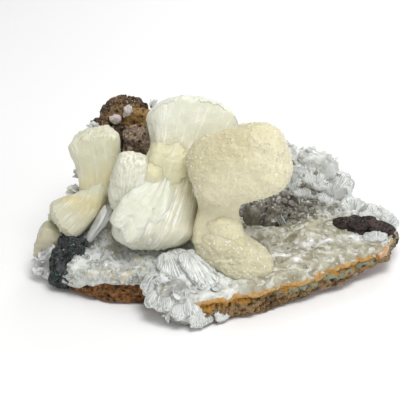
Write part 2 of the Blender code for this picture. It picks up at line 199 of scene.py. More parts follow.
print("noise at one point:", round(float(noise(np.array([1.2, 3.4, 5.6]), 2.0, 1)), 3))

# %% [markdown]
# ## From a grid of points to a mesh
# Every skin here is a grid that goes once round and is closed by a point at either end, like a globe with
# its two poles. One function turns such a grid into a mesh. Values that a finish needs later, such as how
# deep a point lies in a pit, are stored on the points as attributes of the mesh.


# %% Closed skins
def outward_normals(grid):
    """Unit normals of a grid: the cross product of its directions along and around, as whole arrays."""
    along = np.gradient(grid, axis=0)
    around = np.roll(grid, -1, axis=1) - np.roll(grid, 1, axis=1)
    normal = np.cross(around, along)
    normal /= np.linalg.norm(normal, axis=-1, keepdims=True) + 1e-9
    middle = grid.mean(axis=(0, 1))
    sign = np.sign(np.sum(normal * (grid - middle)))
    return normal * sign


def make_mesh(name, points, sides, starts, smooth, layers):
    """A mesh from points, the point numbers round each face, where each face starts, and layers of values."""
    mesh = bpy.data.meshes.new(name)
    mesh.vertices.add(len(points))
    mesh.vertices.foreach_set("co", (points * MM).ravel())
    mesh.loops.add(len(sides))
    mesh.loops.foreach_set("vertex_index", sides.astype(np.int32))
    mesh.polygons.add(len(starts))
    mesh.polygons.foreach_set("loop_start", starts.astype(np.int32))
    mesh.polygons.foreach_set("use_smooth", np.full(len(starts), smooth))
    for key, values in layers.items():
        kind, field = ("FLOAT", "value") if values.ndim == 1 else ("FLOAT_VECTOR", "vector")
        mesh.attributes.new(key, kind, "POINT").data.foreach_set(field, values.ravel())
    mesh.update()
    mesh.validate()
    thing = bpy.data.objects.new(name, mesh)
    scene.collection.objects.link(thing)
    return thing


def with_poles(values):
    """The values of a grid as one list, between the mean of its first row and the mean of its last."""
    listed = values.reshape(-1, *values.shape[2:])
    return np.concatenate([values[:1].mean(axis=1), listed, values[-1:].mean(axis=1)])


def closed_skin(name, grid, layers):
    """A closed mesh from rows that each go once round. Each end row is closed by its middle point."""
    rows, columns = grid.shape[:2]
    points = with_poles(grid)
    index = 1 + np.arange(rows * columns).reshape(rows, columns)
    right = np.roll(index, -1, axis=1)
    quads = np.stack([index[:-1], right[:-1], right[1:], index[1:]], axis=-1).reshape(-1, 4)
    first = np.stack([np.zeros(columns, int), right[0], index[0]], axis=-1)
    last = np.stack([index[-1], right[-1], np.full(columns, len(points) - 1)], axis=-1)
    corners = points[quads]
    face_normal = np.cross(corners[:, 2] - corners[:, 0], corners[:, 3] - corners[:, 1])
    if np.sum(face_normal * (corners.mean(axis=1) - points.mean(axis=0))) < 0:
        quads, first, last = quads[:, ::-1], first[:, ::-1], last[:, ::-1]
    sides = np.concatenate([quads.ravel(), first.ravel(), last.ravel()])
    starts = np.concatenate([np.arange(len(quads)) * 4, quads.size + np.arange(2 * columns) * 3])
    full = {k: with_poles(np.broadcast_to(v, (rows, columns) + np.shape(v)[2:])) for k, v in layers.items()}
    return make_mesh(name, points, sides, starts, True, full)


def dress(thing, finish, *nodes):
    """Gives a finished piece its finish, and lets it stand for the solids it covers."""
    thing.data.materials.append(finish)
    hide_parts(*nodes)
    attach(thing, "root")
    print(thing.name, len(thing.data.polygons), "faces")


# %% [markdown]
# ## Crystals by the thousand
# A druse is thousands of small crystals on one base. Each is a flat six-sided prism with a wedge for a tip,
# which is the habit of stilbite and of its zeolite neighbours. They could be instances, but a joined mesh
# is simpler to hand on: one template of fourteen points is stretched and turned for all crystals at once by
# arrays.


# %% Fields of crystals
SECTION = np.array([(1, 0), (0.55, 1), (-0.55, 1), (-1, 0), (-0.55, -1), (0.55, -1)], float)
FOOT_SHARE = 0.85
SHOULDER_HEIGHT = 0.74
CRYSTAL_POINTS = 14
SHADE_STEP = 12.9898
CRYSTAL_FACES = [tuple(range(5, -1, -1))]
CRYSTAL_FACES += [(i, (i + 1) % 6, 6 + (i + 1) % 6, 6 + i) for i in range(6)]
CRYSTAL_FACES += [(6, 7, 12), (7, 8, 13, 12), (8, 9, 13), (9, 10, 13), (10, 11, 12, 13), (11, 6, 12)]


def unit(vectors):
    return vectors / (np.linalg.norm(vectors, axis=-1, keepdims=True) + 1e-9)


def square_to(ahead, twist):
    """Two directions square to each given one and to each other, turned about it by the twist."""
    other = np.where(np.abs(ahead[:, 2:]) < 0.8, [[0.0, 0.0, 1.0]], [[1.0, 0.0, 0.0]])
    side = unit(np.cross(ahead, other))
    flat = np.cross(ahead, side)
    turn = twist[:, None]
    return side * np.cos(turn) + flat * np.sin(turn), flat * np.cos(turn) - side * np.sin(turn)


def crystal_field(name, feet, directions, lengths, widths, flatness, twists, tip=0.4, taper=1.0):
    """Many crystals as one mesh. A point is foot + direction * height + side * width + flat * thickness.

    Flatness is thickness over width, and taper is how wide the shoulder is for the foot's width.
    """
    ahead = unit(directions)
    side, flat = square_to(ahead, twists)
    across = np.concatenate([SECTION[:, 0] * FOOT_SHARE, SECTION[:, 0] * taper, [tip, -tip]])
    through = np.concatenate([SECTION[:, 1] * FOOT_SHARE, SECTION[:, 1] * taper, [0, 0]])
    height = np.repeat([0.0, SHOULDER_HEIGHT, 1.0], [6, 6, 2])
    wide = (widths[:, None] * across)[..., None] * side[:, None, :]
    deep = (widths[:, None] * flatness * through)[..., None] * flat[:, None, :]
    tall = (lengths[:, None] * height)[..., None] * ahead[:, None, :]
    points = (feet[:, None, :] + wide + deep + tall).reshape(-1, 3)
    each = np.arange(len(feet))
    sizes = np.array([len(face) for face in CRYSTAL_FACES])
    sides = (np.concatenate(CRYSTAL_FACES) + CRYSTAL_POINTS * each[:, None]).ravel()
    starts = (np.cumsum(sizes) - sizes + sizes.sum() * each[:, None]).ravel()
    shade = np.repeat(0.5 + 0.5 * np.sin(each * SHADE_STEP), CRYSTAL_POINTS)
    return make_mesh(name, points, sides, starts, False, {"shade": shade})


def sown(grid, weight, count, seed):
    """Places on a grid, chosen at random by area times weight, with the surface's direction at each."""
    normal = outward_normals(grid)
    along = np.gradient(grid, axis=0)
    around = np.roll(grid, -1, axis=1) - grid
    area = np.linalg.norm(np.cross(along, around), axis=-1) * np.broadcast_to(weight, grid.shape[:2])
    random = np.random.default_rng(seed)
    chosen = random.choice(area.size, size=count, replace=False, p=(area / area.sum()).ravel())
    return grid.reshape(-1, 3)[chosen], normal.reshape(-1, 3)[chosen], random


print("faces of one crystal:", len(CRYSTAL_FACES))

# %% [markdown]
# ## Finishes from nodes
# A finish is a small tree of shader nodes. These helpers add one node each to the tree that is being made,
# and return its output, so that a finish reads as a list of what it is made of. Patterns read Object
# coordinates, which stay with the surface, and their scale is given as the size of one grain in
# millimetres.

# %% Helpers for shader trees
EVEN_SOAK = (1.0, 0.95, 0.85)
PLAIN_SOAK = (1.0, 0.2, 0.1)
current = {}


def new_finish(name, soak=0.0, reach=1.0, soak_colours=EVEN_SOAK, **values):
    """A material and its main shader. With a soak, light enters the body as far as the reach, in mm."""
    material = bpy.data.materials.new(name)
    material.use_nodes = True
    current["tree"] = material.node_tree
    shader = material.node_tree.nodes["Principled BSDF"]
    if soak:
        values.update(Subsurface_Weight=soak, Subsurface_Scale=reach * MM, Subsurface_Radius=soak_colours)
    for key, value in values.items():
        shader.inputs[key.replace("_", " ")].default_value = value
    return material, shader


def plug(value, socket):
    """Puts a value into a socket, or the output that feeds it. A colour gets its fourth number."""
    if isinstance(value, bpy.types.NodeSocket):
        current["tree"].links.new(value, socket)
    elif socket.type == "RGBA":
        socket.default_value = (*value, 1.0)
    else:
        socket.default_value = value


def add(kind, settings=None, **inputs):
    """A shader node with its settings and inputs. An input is found by its name, or by i and its number."""
    node = current["tree"].nodes.new("ShaderNode" + kind)
    for key, value in (settings or {}).items():
        setattr(node, key, value)
    for key, value in inputs.items():
        numbered = key[0] == "i" and key[1:].isdigit()
        plug(value, node.inputs[int(key[1:]) if numbered else key.replace("_", " ")])
    return node


def place():
    return add("TexCoord").outputs["Object"]


def stored(key, output="Fac"):
    """A value stored on the mesh."""
    return add("Attribute", {"attribute_name": key}).outputs[output]


def cloud(size, detail=4.0, roughness=0.55):
    """Soft noise from 0 to 1 with grains of a size in millimetres."""
    scale = 1 / (size * MM)
    node = add("TexNoise", Vector=place(), Scale=scale, Detail=detail, Roughness=roughness)
    return node.outputs["Fac"]


def along_blades(scale, detail):
    """Soft noise of the coordinates kept on a bundle of blades, so that it makes stripes."""
    return add("TexNoise", Vector=stored("bundle", "Vector"), Scale=scale, Detail=detail).outputs["Fac"]


def grain(size, output="Distance"):
    """Cellular noise with grains of a size in millimetres."""
    return add("TexVoronoi", Vector=place(), Scale=1 / (size * MM)).outputs[output]


def level(value, low, high):
    """Turns a value into a mask that is 0 up to low and 1 from high, with a soft step between them."""
    step = {"interpolation_type": "SMOOTHSTEP"}
    return add("MapRange", step, Value=value, From_Min=low, From_Max=high).outputs["Result"]


def maths(operation, first, second):
    return add("Math", {"operation": operation}, i0=first, i1=second).outputs[0]


def times(first, second):
    return maths("MULTIPLY", first, second)


def plus(first, second):
    return maths("ADD", first, second)


def blend(mask, first, second):
    """One colour where the mask is 0 and another where it is 1."""
    return add("Mix", {"data_type": "RGBA"}, i0=mask, i6=first, i7=second).outputs[2]


def bump(height, distance, strength=1.0, normal=None):
    """Tilts the surface by the slope of a height, whose full range is a distance in millimetres."""
    under = {"Normal": normal} if normal is not None else {}
    return add("Bump", Height=height, Distance=distance * MM, Strength=strength, **under).outputs["Normal"]


def vector_maths(operation, **inputs):
    return add("VectorMath", {"operation": operation}, **inputs).outputs[0]


def glitter(size, tilt):
    """Facet normals: every grain leans its own way, so that some of them catch the lamp."""
    normal = add("NewGeometry").outputs["Normal"]
    centred = vector_maths("SUBTRACT", i0=grain(size, "Color"), i1=(0.5, 0.5, 0.5))
    scaled = vector_maths("SCALE", i0=centred, Scale=tilt)
    return vector_maths("NORMALIZE", i0=vector_maths("ADD", i0=scaled, i1=normal))


def feed(shader, colour, normal):
    """Links a colour and a normal to the main shader."""
    plug(colour, shader.inputs["Base Color"])
    plug(normal, shader.inputs["Normal"])


floor_finish, floor_shader = new_finish("pale_floor", Roughness=0.9)
floor_shader.inputs["Base Color"].default_value = (0.99, 0.99, 0.99, 1.0)
floor_mesh.materials.append(floor_finish)
print("helpers ready")

# %% [markdown]
# ## Forms shared by the pieces
# Two forms make up most of the specimen. A block is an ellipsoid with squared-off sides, for rock lumps,
# lobes and the barrel-shaped end of the front sheaf. A sheaf is a bundle of blades: narrow at the waist,
# and opening to a domed fan at both ends. Both are functions of a position along and a position around.


# %% Blocks and sheaves
def turned(points, lean):
    """Points turned about X, then Y, then Z, by degrees."""
    x, y, z = (math.radians(a) for a in lean)
    about_x = np.array([[1, 0, 0], [0, math.cos(x), -math.sin(x)], [0, math.sin(x), math.cos(x)]])
    about_y = np.array([[math.cos(y), 0, math.sin(y)], [0, 1, 0], [-math.sin(y), 0, math.cos(y)]])
    about_z = np.array([[math.cos(z), -math.sin(z), 0], [math.sin(z), math.cos(z), 0], [0, 0, 1]])
    return points @ (about_z @ about_y @ about_x).T


def squared(directions, boxy):
    """Unit directions stretched to a rounded box, where the sum of |coordinate| ** (2 / boxy) is 1."""
    power = 2 / boxy
    size = np.sum(np.abs(directions) ** power, axis=-1, keepdims=True) ** (1 / power)
    return directions / size


def block_grid(centre, half, lean, boxy=0.75, rows=100, columns=160):
    """Directions of a globe, squared, stretched to the half sizes, turned and moved to the centre."""
    along = np.linspace(0, math.pi, rows + 2)[1:-1, None]
    around = np.linspace(0, 2 * math.pi, columns, endpoint=False)[None, :]
    directions = np.stack(
        [np.sin(along) * np.cos(around), np.sin(along) * np.sin(around), np.cos(along) + 0 * around], axis=-1
    )
    return turned(squared(directions, boxy) * half, lean) + centre


def spine_point(ends, share):
    """A point on the smooth curve through a sheaf's upper end, waist and lower end."""
    upper, waist, lower = (np.array(p, float) for p in ends)
    middle = 2 * waist - (upper + lower) / 2
    share = np.asarray(share, float)[..., None]
    return upper * (1 - share) ** 2 + 2 * middle * share * (1 - share) + lower * share**2


def fan_size(share, sizes):
    """Half size along a sheaf: the waist's, growing as a power of the distance from the waist."""
    upper, waist, lower = sizes
    from_waist = np.abs(2 * share - 1)
    end = np.where(share < 0.5, upper, lower)
    return waist + (end - waist) * from_waist**1.35


SHEAF_BOXY = 0.66
SPINE_STEP = 0.02


def sheaf_grid(columns, body_rows, cap_rows, ends, width, depth, domes, sides, crisp):
    """A bow-tie: rings across the spine, closed by an arched end either way.

    A crisp end is an arch across the width only, with a sharp rim: 0 is a dome, and 1 is like a fan. Returns
    the grid, the share along the spine, the angle around it, the share of the full cross-section (below 1 on
    the ends) and the direction of the spine.
    """
    radii = np.sin(np.linspace(0.03, 1, cap_rows) * math.pi / 2)
    share = np.concatenate([np.zeros(cap_rows), np.linspace(0, 1, body_rows)[1:-1], np.ones(cap_rows)])
    scale = np.concatenate([radii, np.ones(body_rows - 2), radii[::-1]])[:, None]
    around = np.linspace(0, 2 * math.pi, columns, endpoint=False)
    across, front = squared(np.stack([np.cos(around), np.sin(around)], axis=-1), SHEAF_BOXY).T
    height = np.where(share < 0.5, domes[0], -domes[1])
    arch = np.where(share < 0.5, crisp[0], crisp[1])[:, None]
    inside = arch * (1 - np.abs(across * scale) ** 2.2) + (1 - arch) * (1 - scale**2.2)
    rise = (height * np.abs(2 * share - 1) ** 2.5)[:, None] * np.sqrt(np.maximum(0, inside))
    before, after = np.maximum(share - SPINE_STEP, 0), np.minimum(share + SPINE_STEP, 1)
    ahead = unit(spine_point(ends, before) - spine_point(ends, after))
    wide = unit(np.outer(1 - share, sides[0]) + np.outer(share, sides[1]))
    deep = unit(np.cross(ahead, wide))
    half_width = fan_size(share, width)[:, None] * scale
    half_depth = fan_size(share, depth)[:, None] * scale
    grid = spine_point(ends, share)[:, None, :] + rise[..., None] * ahead[:, None, :]
    grid = grid + (half_width * across)[..., None] * wide[:, None, :]
    grid = grid + (half_depth * front)[..., None] * deep[:, None, :]
    return grid, share[:, None], around[None, :], scale, ahead[:, None, :]


print("forms ready")

# %% [markdown]
# ## The basalt
# The matrix is a slab of weathered, vesicular basalt. Gas bubbles left small round pits in it, and
# weathering has turned it from grey to ochre and rust. Its skin runs in rings from under the slab, up its
# broken side and a little way over the top, where the crust hides it. Three layers of relief give the
# fracture: soft lumps, sharp ridges and pits. How deep a point lies in a pit or crack is kept for the finish,
# which paints the pits near black as painted shade.

# %% Shape of the slab
SLAB_CENTRE = (3.0, -2.0)
SLAB_OUTLINE = (
    (-11, -32), (-5, -33.5), (6, -29.5), (20, -23.5), (32, -17), (44, -10), (53, -4.5),
    (56.5, 3), (57, 9), (54, 13), (46, 15), (41.5, 22), (36, 29.5), (22, 33), (8, 33),
    (-6, 34), (-20, 33), (-32, 30), (-41, 24), (-46, 15), (-49, 6), (-51, -2),
    (-50.5, -9), (-46, -14), (-40, -18), (-30, -21.5), (-21, -22), (-16, -27),
)
SLAB_TOP = 8.2
TOP_SLOPE = 0.02
SIDE_LEVELS = (0, 0.12, 0.5, 1)
SIDE_SHARES = (0.93, 0.985, 1.0, 0.965)
RIGHT_END_LIFT = (38.0, 0.3)
LEFT_END_LIFT = (-40.0, 0.2)
BACK_LIFT = (24.0, 0.3)
UNDERCUT = ((32.0, -17.0), (20.0, 8.0), 2.0)
UNDERCUT_RISE = 0.9
SLAB_FORMS = (
    ((-30, 2), (19, 12), 8.0, 1.0),
    ((-8, -4), (13, 12), 4.0, 1.0),
    ((30, 29), (13.5, 6.5), 12.5, 2.0),
    ((-2, 33), (24, 8), 12.0, 1.5),
    ((-28, 28), (14, 9), 14.0, 1.5),
    ((14, 13), (13, 7), -6.4, 2.0),
    ((26, 3), (12, 6), 2.0, 1.0),
    ((48, 9), (8, 4), 1.2, 2.0),
)


def bump_at(x, y, centre, reach, steepness=1.0):
    """A smooth hill of height 1: e to the power of minus the squared distance, raised to a steepness."""
    away = ((x - centre[0]) / reach[0]) ** 2 + ((y - centre[1]) / reach[1]) ** 2
    return np.exp(-(away**steepness))


def outline_radius(angle):
    """How far the slab's outline is from its centre in each direction."""
    corners = np.array(SLAB_OUTLINE, float) - SLAB_CENTRE
    directions = np.arctan2(corners[:, 1], corners[:, 0])
    order = np.argsort(directions)
    radii = np.hypot(corners[:, 0], corners[:, 1])
    return np.interp(angle, directions[order], radii[order], period=2 * math.pi)


def slab_top(x, y):
    """Height of the rock under the crust: a level with hills and a hollow."""
    hills = sum(rise * bump_at(x, y, centre, reach, steep) for centre, reach, rise, steep in SLAB_FORMS)
    return SLAB_TOP + TOP_SLOPE * x + hills


def slab_bottom(x, y):
    """Height of the underside: level where it rests, lifted at both ends and the back, undercut in front."""
    right = np.maximum(0, x - RIGHT_END_LIFT[0]) * RIGHT_END_LIFT[1]
    left = np.maximum(0, LEFT_END_LIFT[0] - x) * LEFT_END_LIFT[1]
    back = np.maximum(0, y - BACK_LIFT[0]) * BACK_LIFT[1]
    return right + left + back + UNDERCUT_RISE * bump_at(x, y, *UNDERCUT)


def ring(share, angle):
    """Plan positions at a share of the outline's radius."""
    radius = share * outline_radius(angle)
    return SLAB_CENTRE[0] + radius * np.cos(angle), SLAB_CENTRE[1] + radius * np.sin(angle)


def pits_at(points, size, seed, radius, least):
    """Uneven pits: 1 in the middle and 0 outside. Only cells whose number is above the least have one."""
    warp = np.stack([noise(points, 0.7 * size, seed + 20 + k) for k in range(3)], axis=-1)
    nearest, _, _, number = cellular(points + 0.35 * size * warp, size, seed)
    own = radius * (0.45 + 0.75 * np.clip(number, 0, 1))
    return np.clip((own - nearest) / (0.5 * own), 0, 1) * (number > least)


PIT_DEPTH = 0.9
SMALL_PIT_DEPTH = 0.4
CRACK_DEPTH = 0.45


def rock_relief(points, seed):
    """Height of broken rock, and how deep in a pit each point lies, from 0 to 1."""
    pit = pits_at(points, 2.2, seed, 0.46, 0.0)
    small_pit = pits_at(points, 1.0, seed + 9, 0.42, 0.1)
    crack = np.clip(0.5 - ridged(points, 3.4, seed + 3), 0, 1)
    height = 0.7 * rugged(points, 3.2, seed + 1, 3) + 0.5 * ridged(points, 1.6, seed + 2, 2)
    depth = np.clip(pit + 0.6 * small_pit + 0.5 * crack, 0, 1)
    return height - PIT_DEPTH * pit - SMALL_PIT_DEPTH * small_pit - CRACK_DEPTH * crack, depth


print("slab about", np.ptp([c[0] for c in SLAB_OUTLINE]), "mm wide")

# %% Skin of the slab
SLAB_COLUMNS = 900
UNDER_ROWS = 16
SIDE_ROWS = 32
TOP_ROWS = 7


def slab_grid():
    """Rings at a share of the outline's radius and a level between the underside and the top."""
    angle = np.linspace(0, 2 * math.pi, SLAB_COLUMNS, endpoint=False)[None, :]
    side_up = np.linspace(0, 1, SIDE_ROWS)
    side_share = np.interp(side_up, SIDE_LEVELS, SIDE_SHARES)
    under, over = np.linspace(0.08, 0.9, UNDER_ROWS), np.linspace(0.93, 0.1, TOP_ROWS)
    share = np.concatenate([under, side_share, over])[:, None]
    up = np.concatenate([np.zeros(UNDER_ROWS), side_up, np.ones(TOP_ROWS)])[:, None]
    x, y = ring(share, angle)
    low, high = slab_bottom(x, y), slab_top(x, y)
    grid = np.stack([x, y, low + (high - low) * up], axis=-1)
    height, pit = rock_relief(grid, 5)
    height = height + 1.0 * rugged(grid, 5.0, 5) - 0.3
    on_side = np.where((up > 0) & (up < 1), 1.0, 0.0) * np.minimum(1, 6 * np.minimum(up, 1.02 - up))
    outward = np.stack([np.cos(angle) + 0 * x, np.sin(angle) + 0 * x, 0 * x], axis=-1)
    grid = grid + outward * (height * on_side)[..., None]
    under = (up == 0) & (share < 0.95)
    grid[..., 2] += np.where(under, np.maximum(0, 0.5 * height), 0) + 0.6 * on_side * noise(grid, 1.5, 8)
    grid[..., 2] = np.maximum(grid[..., 2], 0.0)
    return grid, pit, up


slab_points, slab_pit, slab_up = slab_grid()
basalt_slab = closed_skin("basalt_slab", slab_points, {"pit": slab_pit, "up": slab_up + 0 * slab_pit})
print("pits cover", round(float((slab_pit > 0.5).mean()), 3))

# %% [markdown]
# ## Finish of the basalt
# Weathered basalt is patchy: ochre where iron has rusted, dark brown where it is fresh, and flecked with
# white zeolite and blue-green clay. Each of these is one mask of noise over the last. The pits are painted
# black over them, a painted shade. A thin orange seam of rust follows the edge where the crust meets the
# rock, with a pale green film under it, and the underside is chalky. These three follow the height on the
# slab's side, which is stored on the mesh.

# %% Rock finishes
OCHRE = (0.30, 0.165, 0.05)
TAWNY = (0.43, 0.26, 0.09)
RUSSET = (0.26, 0.10, 0.03)
UMBER = (0.065, 0.036, 0.017)
BLACK_GRAIN_AND_PIT_SHADE = (0.016, 0.011, 0.009)
CHALK = (0.60, 0.52, 0.46)
TEAL = (0.07, 0.20, 0.18)
LICHEN = (0.33, 0.38, 0.27)
RUST_ORANGE = (0.50, 0.255, 0.05)
RUST_GRAIN = (0.42, 0.19, 0.045)
SLAB_BROWN = (0.27, 0.165, 0.07)
SLAB_TAN = (0.36, 0.235, 0.11)
CHALKY_BROWN = (0.42, 0.33, 0.28)


def along_axis(axis):
    """One coordinate of a point, in metres."""
    return add("SeparateXYZ", Vector=place()).outputs[axis]


def painted(colour, layers):
    """Lays one colour after another over the first, each where its mask is 1."""
    for mask, paint in layers:
        colour = blend(mask, colour, paint)
    return colour


def rock_finish(name, main, second, dark, light, chalk_from, teal_from, patch=(0.42, 0.6)):
    """Rock in two colours, dark and light grains, and chalky and blue-green flecks above a noise level."""
    material, shader = new_finish(name, Roughness=0.85, Specular_IOR_Level=0.35)
    layers = (
        (level(cloud(5.0), *patch), second),
        (level(cloud(0.5, 3), 0.54, 0.66), light),
        (level(cloud(1.2, 7, 0.7), 0.5, 0.6), dark),
        (level(cloud(0.8, 3), chalk_from, chalk_from + 0.05), CHALK),
        (level(cloud(0.9, 5, 0.7), teal_from, teal_from + 0.04), TEAL),
    )
    return material, shader, painted(main, layers)


def finish_rock(material, shader, colour):
    """Painted shade in the pits over the colours, and a rough surface."""
    rough = bump(cloud(0.5, 8, 0.75), 0.6)
    # Painted shade: pits and cracks are darkened towards near black by their depth.
    feed(shader, blend(stored("pit"), colour, BLACK_GRAIN_AND_PIT_SHADE), bump(grain(0.7), 0.4, 0.8, rough))
    return material


slab_rock, shader, colour = rock_finish("slab_rock", SLAB_BROWN, SLAB_TAN, UMBER, TAWNY, 0.70, 0.72)
east = along_axis("X")
up_side = plus(stored("up"), times(cloud(2.5), 0.7))
on_left = level(east, -0.010, -0.018)
slab_layers = (
    (times(on_left, 0.8), RUSSET),
    (times(times(level(grain(0.9, "Color"), 0.5, 0.56), on_left), 0.7), RUST_GRAIN),
    (times(times(level(cloud(1.6, 6, 0.75), 0.5, 0.56), on_left), 0.9), UMBER),
    (times(level(up_side, 0.62, 0.48), level(east, 0.022, 0.034)), CHALKY_BROWN),
    (times(level(up_side, 0.86, 0.98), level(east, 0.012, 0.024)), LICHEN),
    (times(level(up_side, 1.0, 1.1), level(east, -0.012, -0.004)), RUST_ORANGE),
)
dress(basalt_slab, finish_rock(slab_rock, shader, painted(colour, slab_layers)), "basalt_matrix")

ROCKS = {
    "knob_rock": ((0.10, 0.062, 0.034), (0.30, 0.18, 0.07), BLACK_GRAIN_AND_PIT_SHADE, (0.30, 0.20, 0.13), 0.62, 0.70, (0.5, 0.6)),
    "druse_rock": ((0.36, 0.26, 0.18), (0.48, 0.37, 0.27), RUSSET, (0.70, 0.61, 0.52), 0.55, 0.8),
    "dark_rock": ((0.05, 0.052, 0.052), (0.09, 0.09, 0.092), BLACK_GRAIN_AND_PIT_SHADE, (0.10, 0.12, 0.12), 0.66, 0.565),
    "purple_rock": ((0.045, 0.038, 0.036), (0.11, 0.08, 0.072), BLACK_GRAIN_AND_PIT_SHADE, (0.12, 0.08, 0.075), 0.69, 0.8),
    "ochre_rock": (OCHRE, TAWNY, UMBER, TAWNY, 0.74, 0.76),
}
rocks = {name: finish_rock(*rock_finish(name, *values)) for name, values in ROCKS.items()}
print("rocks:", sorted(rocks))

# %% [markdown]
# ## Rock that stands through the crust
# Six lumps rise from the slab: a tall knob with a ledge and a sparkling brown druse behind the left sheaf,
# a ridge along the back, a green-black lump at the left end and a purplish strip at the right. Each is a
# block whose skin is pushed in and out by the same relief as the slab. An ochre patch, two chalky bodies
# and an orange crystal are set into them.

# %% Rock lumps
ROCK_LUMPS = {
    "rock_knob": (((-28.8, 22.0, 29.0), (9.6, 7.5, 18.0), (0, 2, 8)), "knob_rock", 110, 160),
    "rock_ledge": (((-34.5, 19.0, 37.0), (4.4, 4.0, 4.2), (0, 20, 0)), "knob_rock", 50, 80),
    "rock_druse": (((-23.2, 15.5, 35.5), (5.2, 4.6, 7.0), (10, 0, 0)), "druse_rock", 70, 100),
    "back_ridge": (((-10.0, 27.0, 19.0), (12.0, 6.5, 11.0), (0, 12, 0)), "knob_rock", 80, 130),
    "dark_lump": (((-45.0, -10.2, 9.0), (4.6, 4.6, 8.8), (-18, 22, 0)), "dark_rock", 90, 100),
    "dark_strip": (((46.0, 3.4, 11.8), (9.8, 3.0, 3.0), (0, 6, -7)), "purple_rock", 70, 130),
    "ochre_patch": (((-23.6, 16.6, 41.8), (4.4, 2.6, 4.8), (0, 10, 0)), "ochre_rock", 50, 70),
    "chalk_upper": (((-27.2, 16.2, 45.8), (1.1, 1.1, 2.6), (0, 8, 0)), "chalk_body", 30, 40),
    "chalk_lower": (((-31.2, 16.0, 43.4), (1.4, 1.1, 1.3), (0, 30, 0)), "chalk_body", 30, 40),
    "orange_crystal": (((50.6, -4.2, 8.6), (3.0, 2.2, 2.4), (0, -10, 30)), "orange_body", 30, 44),
}
SMALL_LUMPS = {"ochre_patch", "chalk_upper", "chalk_lower", "orange_crystal"}
SMALL_ROUGHNESS = 0.6
for name, body in {"chalk_body": (0.56, 0.54, 0.56), "orange_body": (0.62, 0.31, 0.11)}.items():
    rocks[name], shader = new_finish(name, 0.4, 1.0, PLAIN_SOAK, Roughness=0.4)
    feed(shader, blend(level(cloud(1.6), 0.4, 0.62), body, CHALK), glitter(0.6, 0.4))


def rock_lump(name, form, finish, rows, columns, seed, rough):
    """A block pushed out by soft lumps of the solid's own size, crags and pits."""
    grid = block_grid(*form, 0.8, rows, columns)
    height, pit = rock_relief(grid, seed)
    outward = unit(grid - np.array(form[0]))
    grid = grid + outward * (rough * (rugged(grid, 4.0, seed) + height))[..., None]
    dress(closed_skin(name, grid, {"pit": rough * pit}), finish, "basalt_matrix")


for number, (name, (form, rock, rows, columns)) in enumerate(ROCK_LUMPS.items()):
    rough = SMALL_ROUGHNESS if name in SMALL_LUMPS else 1.0
    rock_lump(name, form, rocks[rock], rows, columns, 20 + number, rough)

# %% [markdown]
# ## The crust
# A layer of small pale crystals covers the slab and hangs over its edge. Its skin follows the rock at the
# thickness of the solid, with rounded clusters and facets on top. It differs from place to place:
# grey-green and grainy at the left, waxy at the front right, silvery white at the back right, and thin in
# the hollow behind the front sheaf, which is painted dark brown as painted shade. Masks worked out from the
# place of each point say which is which, and the finish reads them.

# %% Skin of the crust
CRUST_THICKNESS = 2.6
CRUST_RELIEF = 1.2
CRUST_LEAST = 1.2
CRUST_RIM = 0.972
CRUST_OVERHANG = 0.982
CRUST_COLUMNS = 600
CRUST_ROWS = 104
CRUST_DRAPES = (
    ((-42, -15), (8, 7), 4.0), ((28, -19), (14, 7), 1.6), ((10, -27), (9, 6), 0.6), ((48, -8), (7, 6), 0.8),
    ((6, 33), (8, 6), 4.0), ((-24, 31), (7, 6), 5.0), ((-44, 18), (5, 7), 3.0), ((38, 27), (5, 6), 4.0),
)
HOLLOW = ((19.0, 15.8), (17.5, 7.6), 2.0)
BACK_WALL = ((33.0, 28.0), (18.0, 7.5), 2.0)
RIGHT_SHELF = ((49.0, 12.5), (11.0, 5.5), 2.0)
NEAR_CORNER = ((-12.0, -25.0), (12.0, 8.5), 2.0)
LIP = ((30.0, 10.6), (7.0, 2.2), 1.0)
# Places of the patches that are painted near white as painted sheen.
SHEEN_PATCHES = (
    ((21.0, -11.5), (4.5, 2.0)), ((30.0, -4.5), (6.0, 1.3)), ((-4.0, -25.0), (4.0, 2.0)),
    ((44.0, -2.0), (4.0, 1.6)), ((-30.0, -16.5), (3.0, 2.0)), ((-36.0, -12.5), (3.0, 1.6)),
    ((24.5, -15.5), (1.4, 0.8)), ((52.0, 5.0), (3.0, 2.0)),
)


def crust_top(x, y):
    """Height of the crust: the rock's, plus a thickness that is the same on steep and level faces."""
    place_on = np.stack([x, y, 0 * x], axis=-1)
    slope_x = slab_top(x + 0.5, y) - slab_top(x - 0.5, y)
    slope_y = slab_top(x, y + 0.5) - slab_top(x, y - 0.5)
    thickness = np.maximum(CRUST_LEAST, CRUST_THICKNESS + CRUST_RELIEF * rugged(place_on, 7.0, 11))
    return slab_top(x, y) + thickness * np.minimum(2.0, np.sqrt(1 + slope_x**2 + slope_y**2))


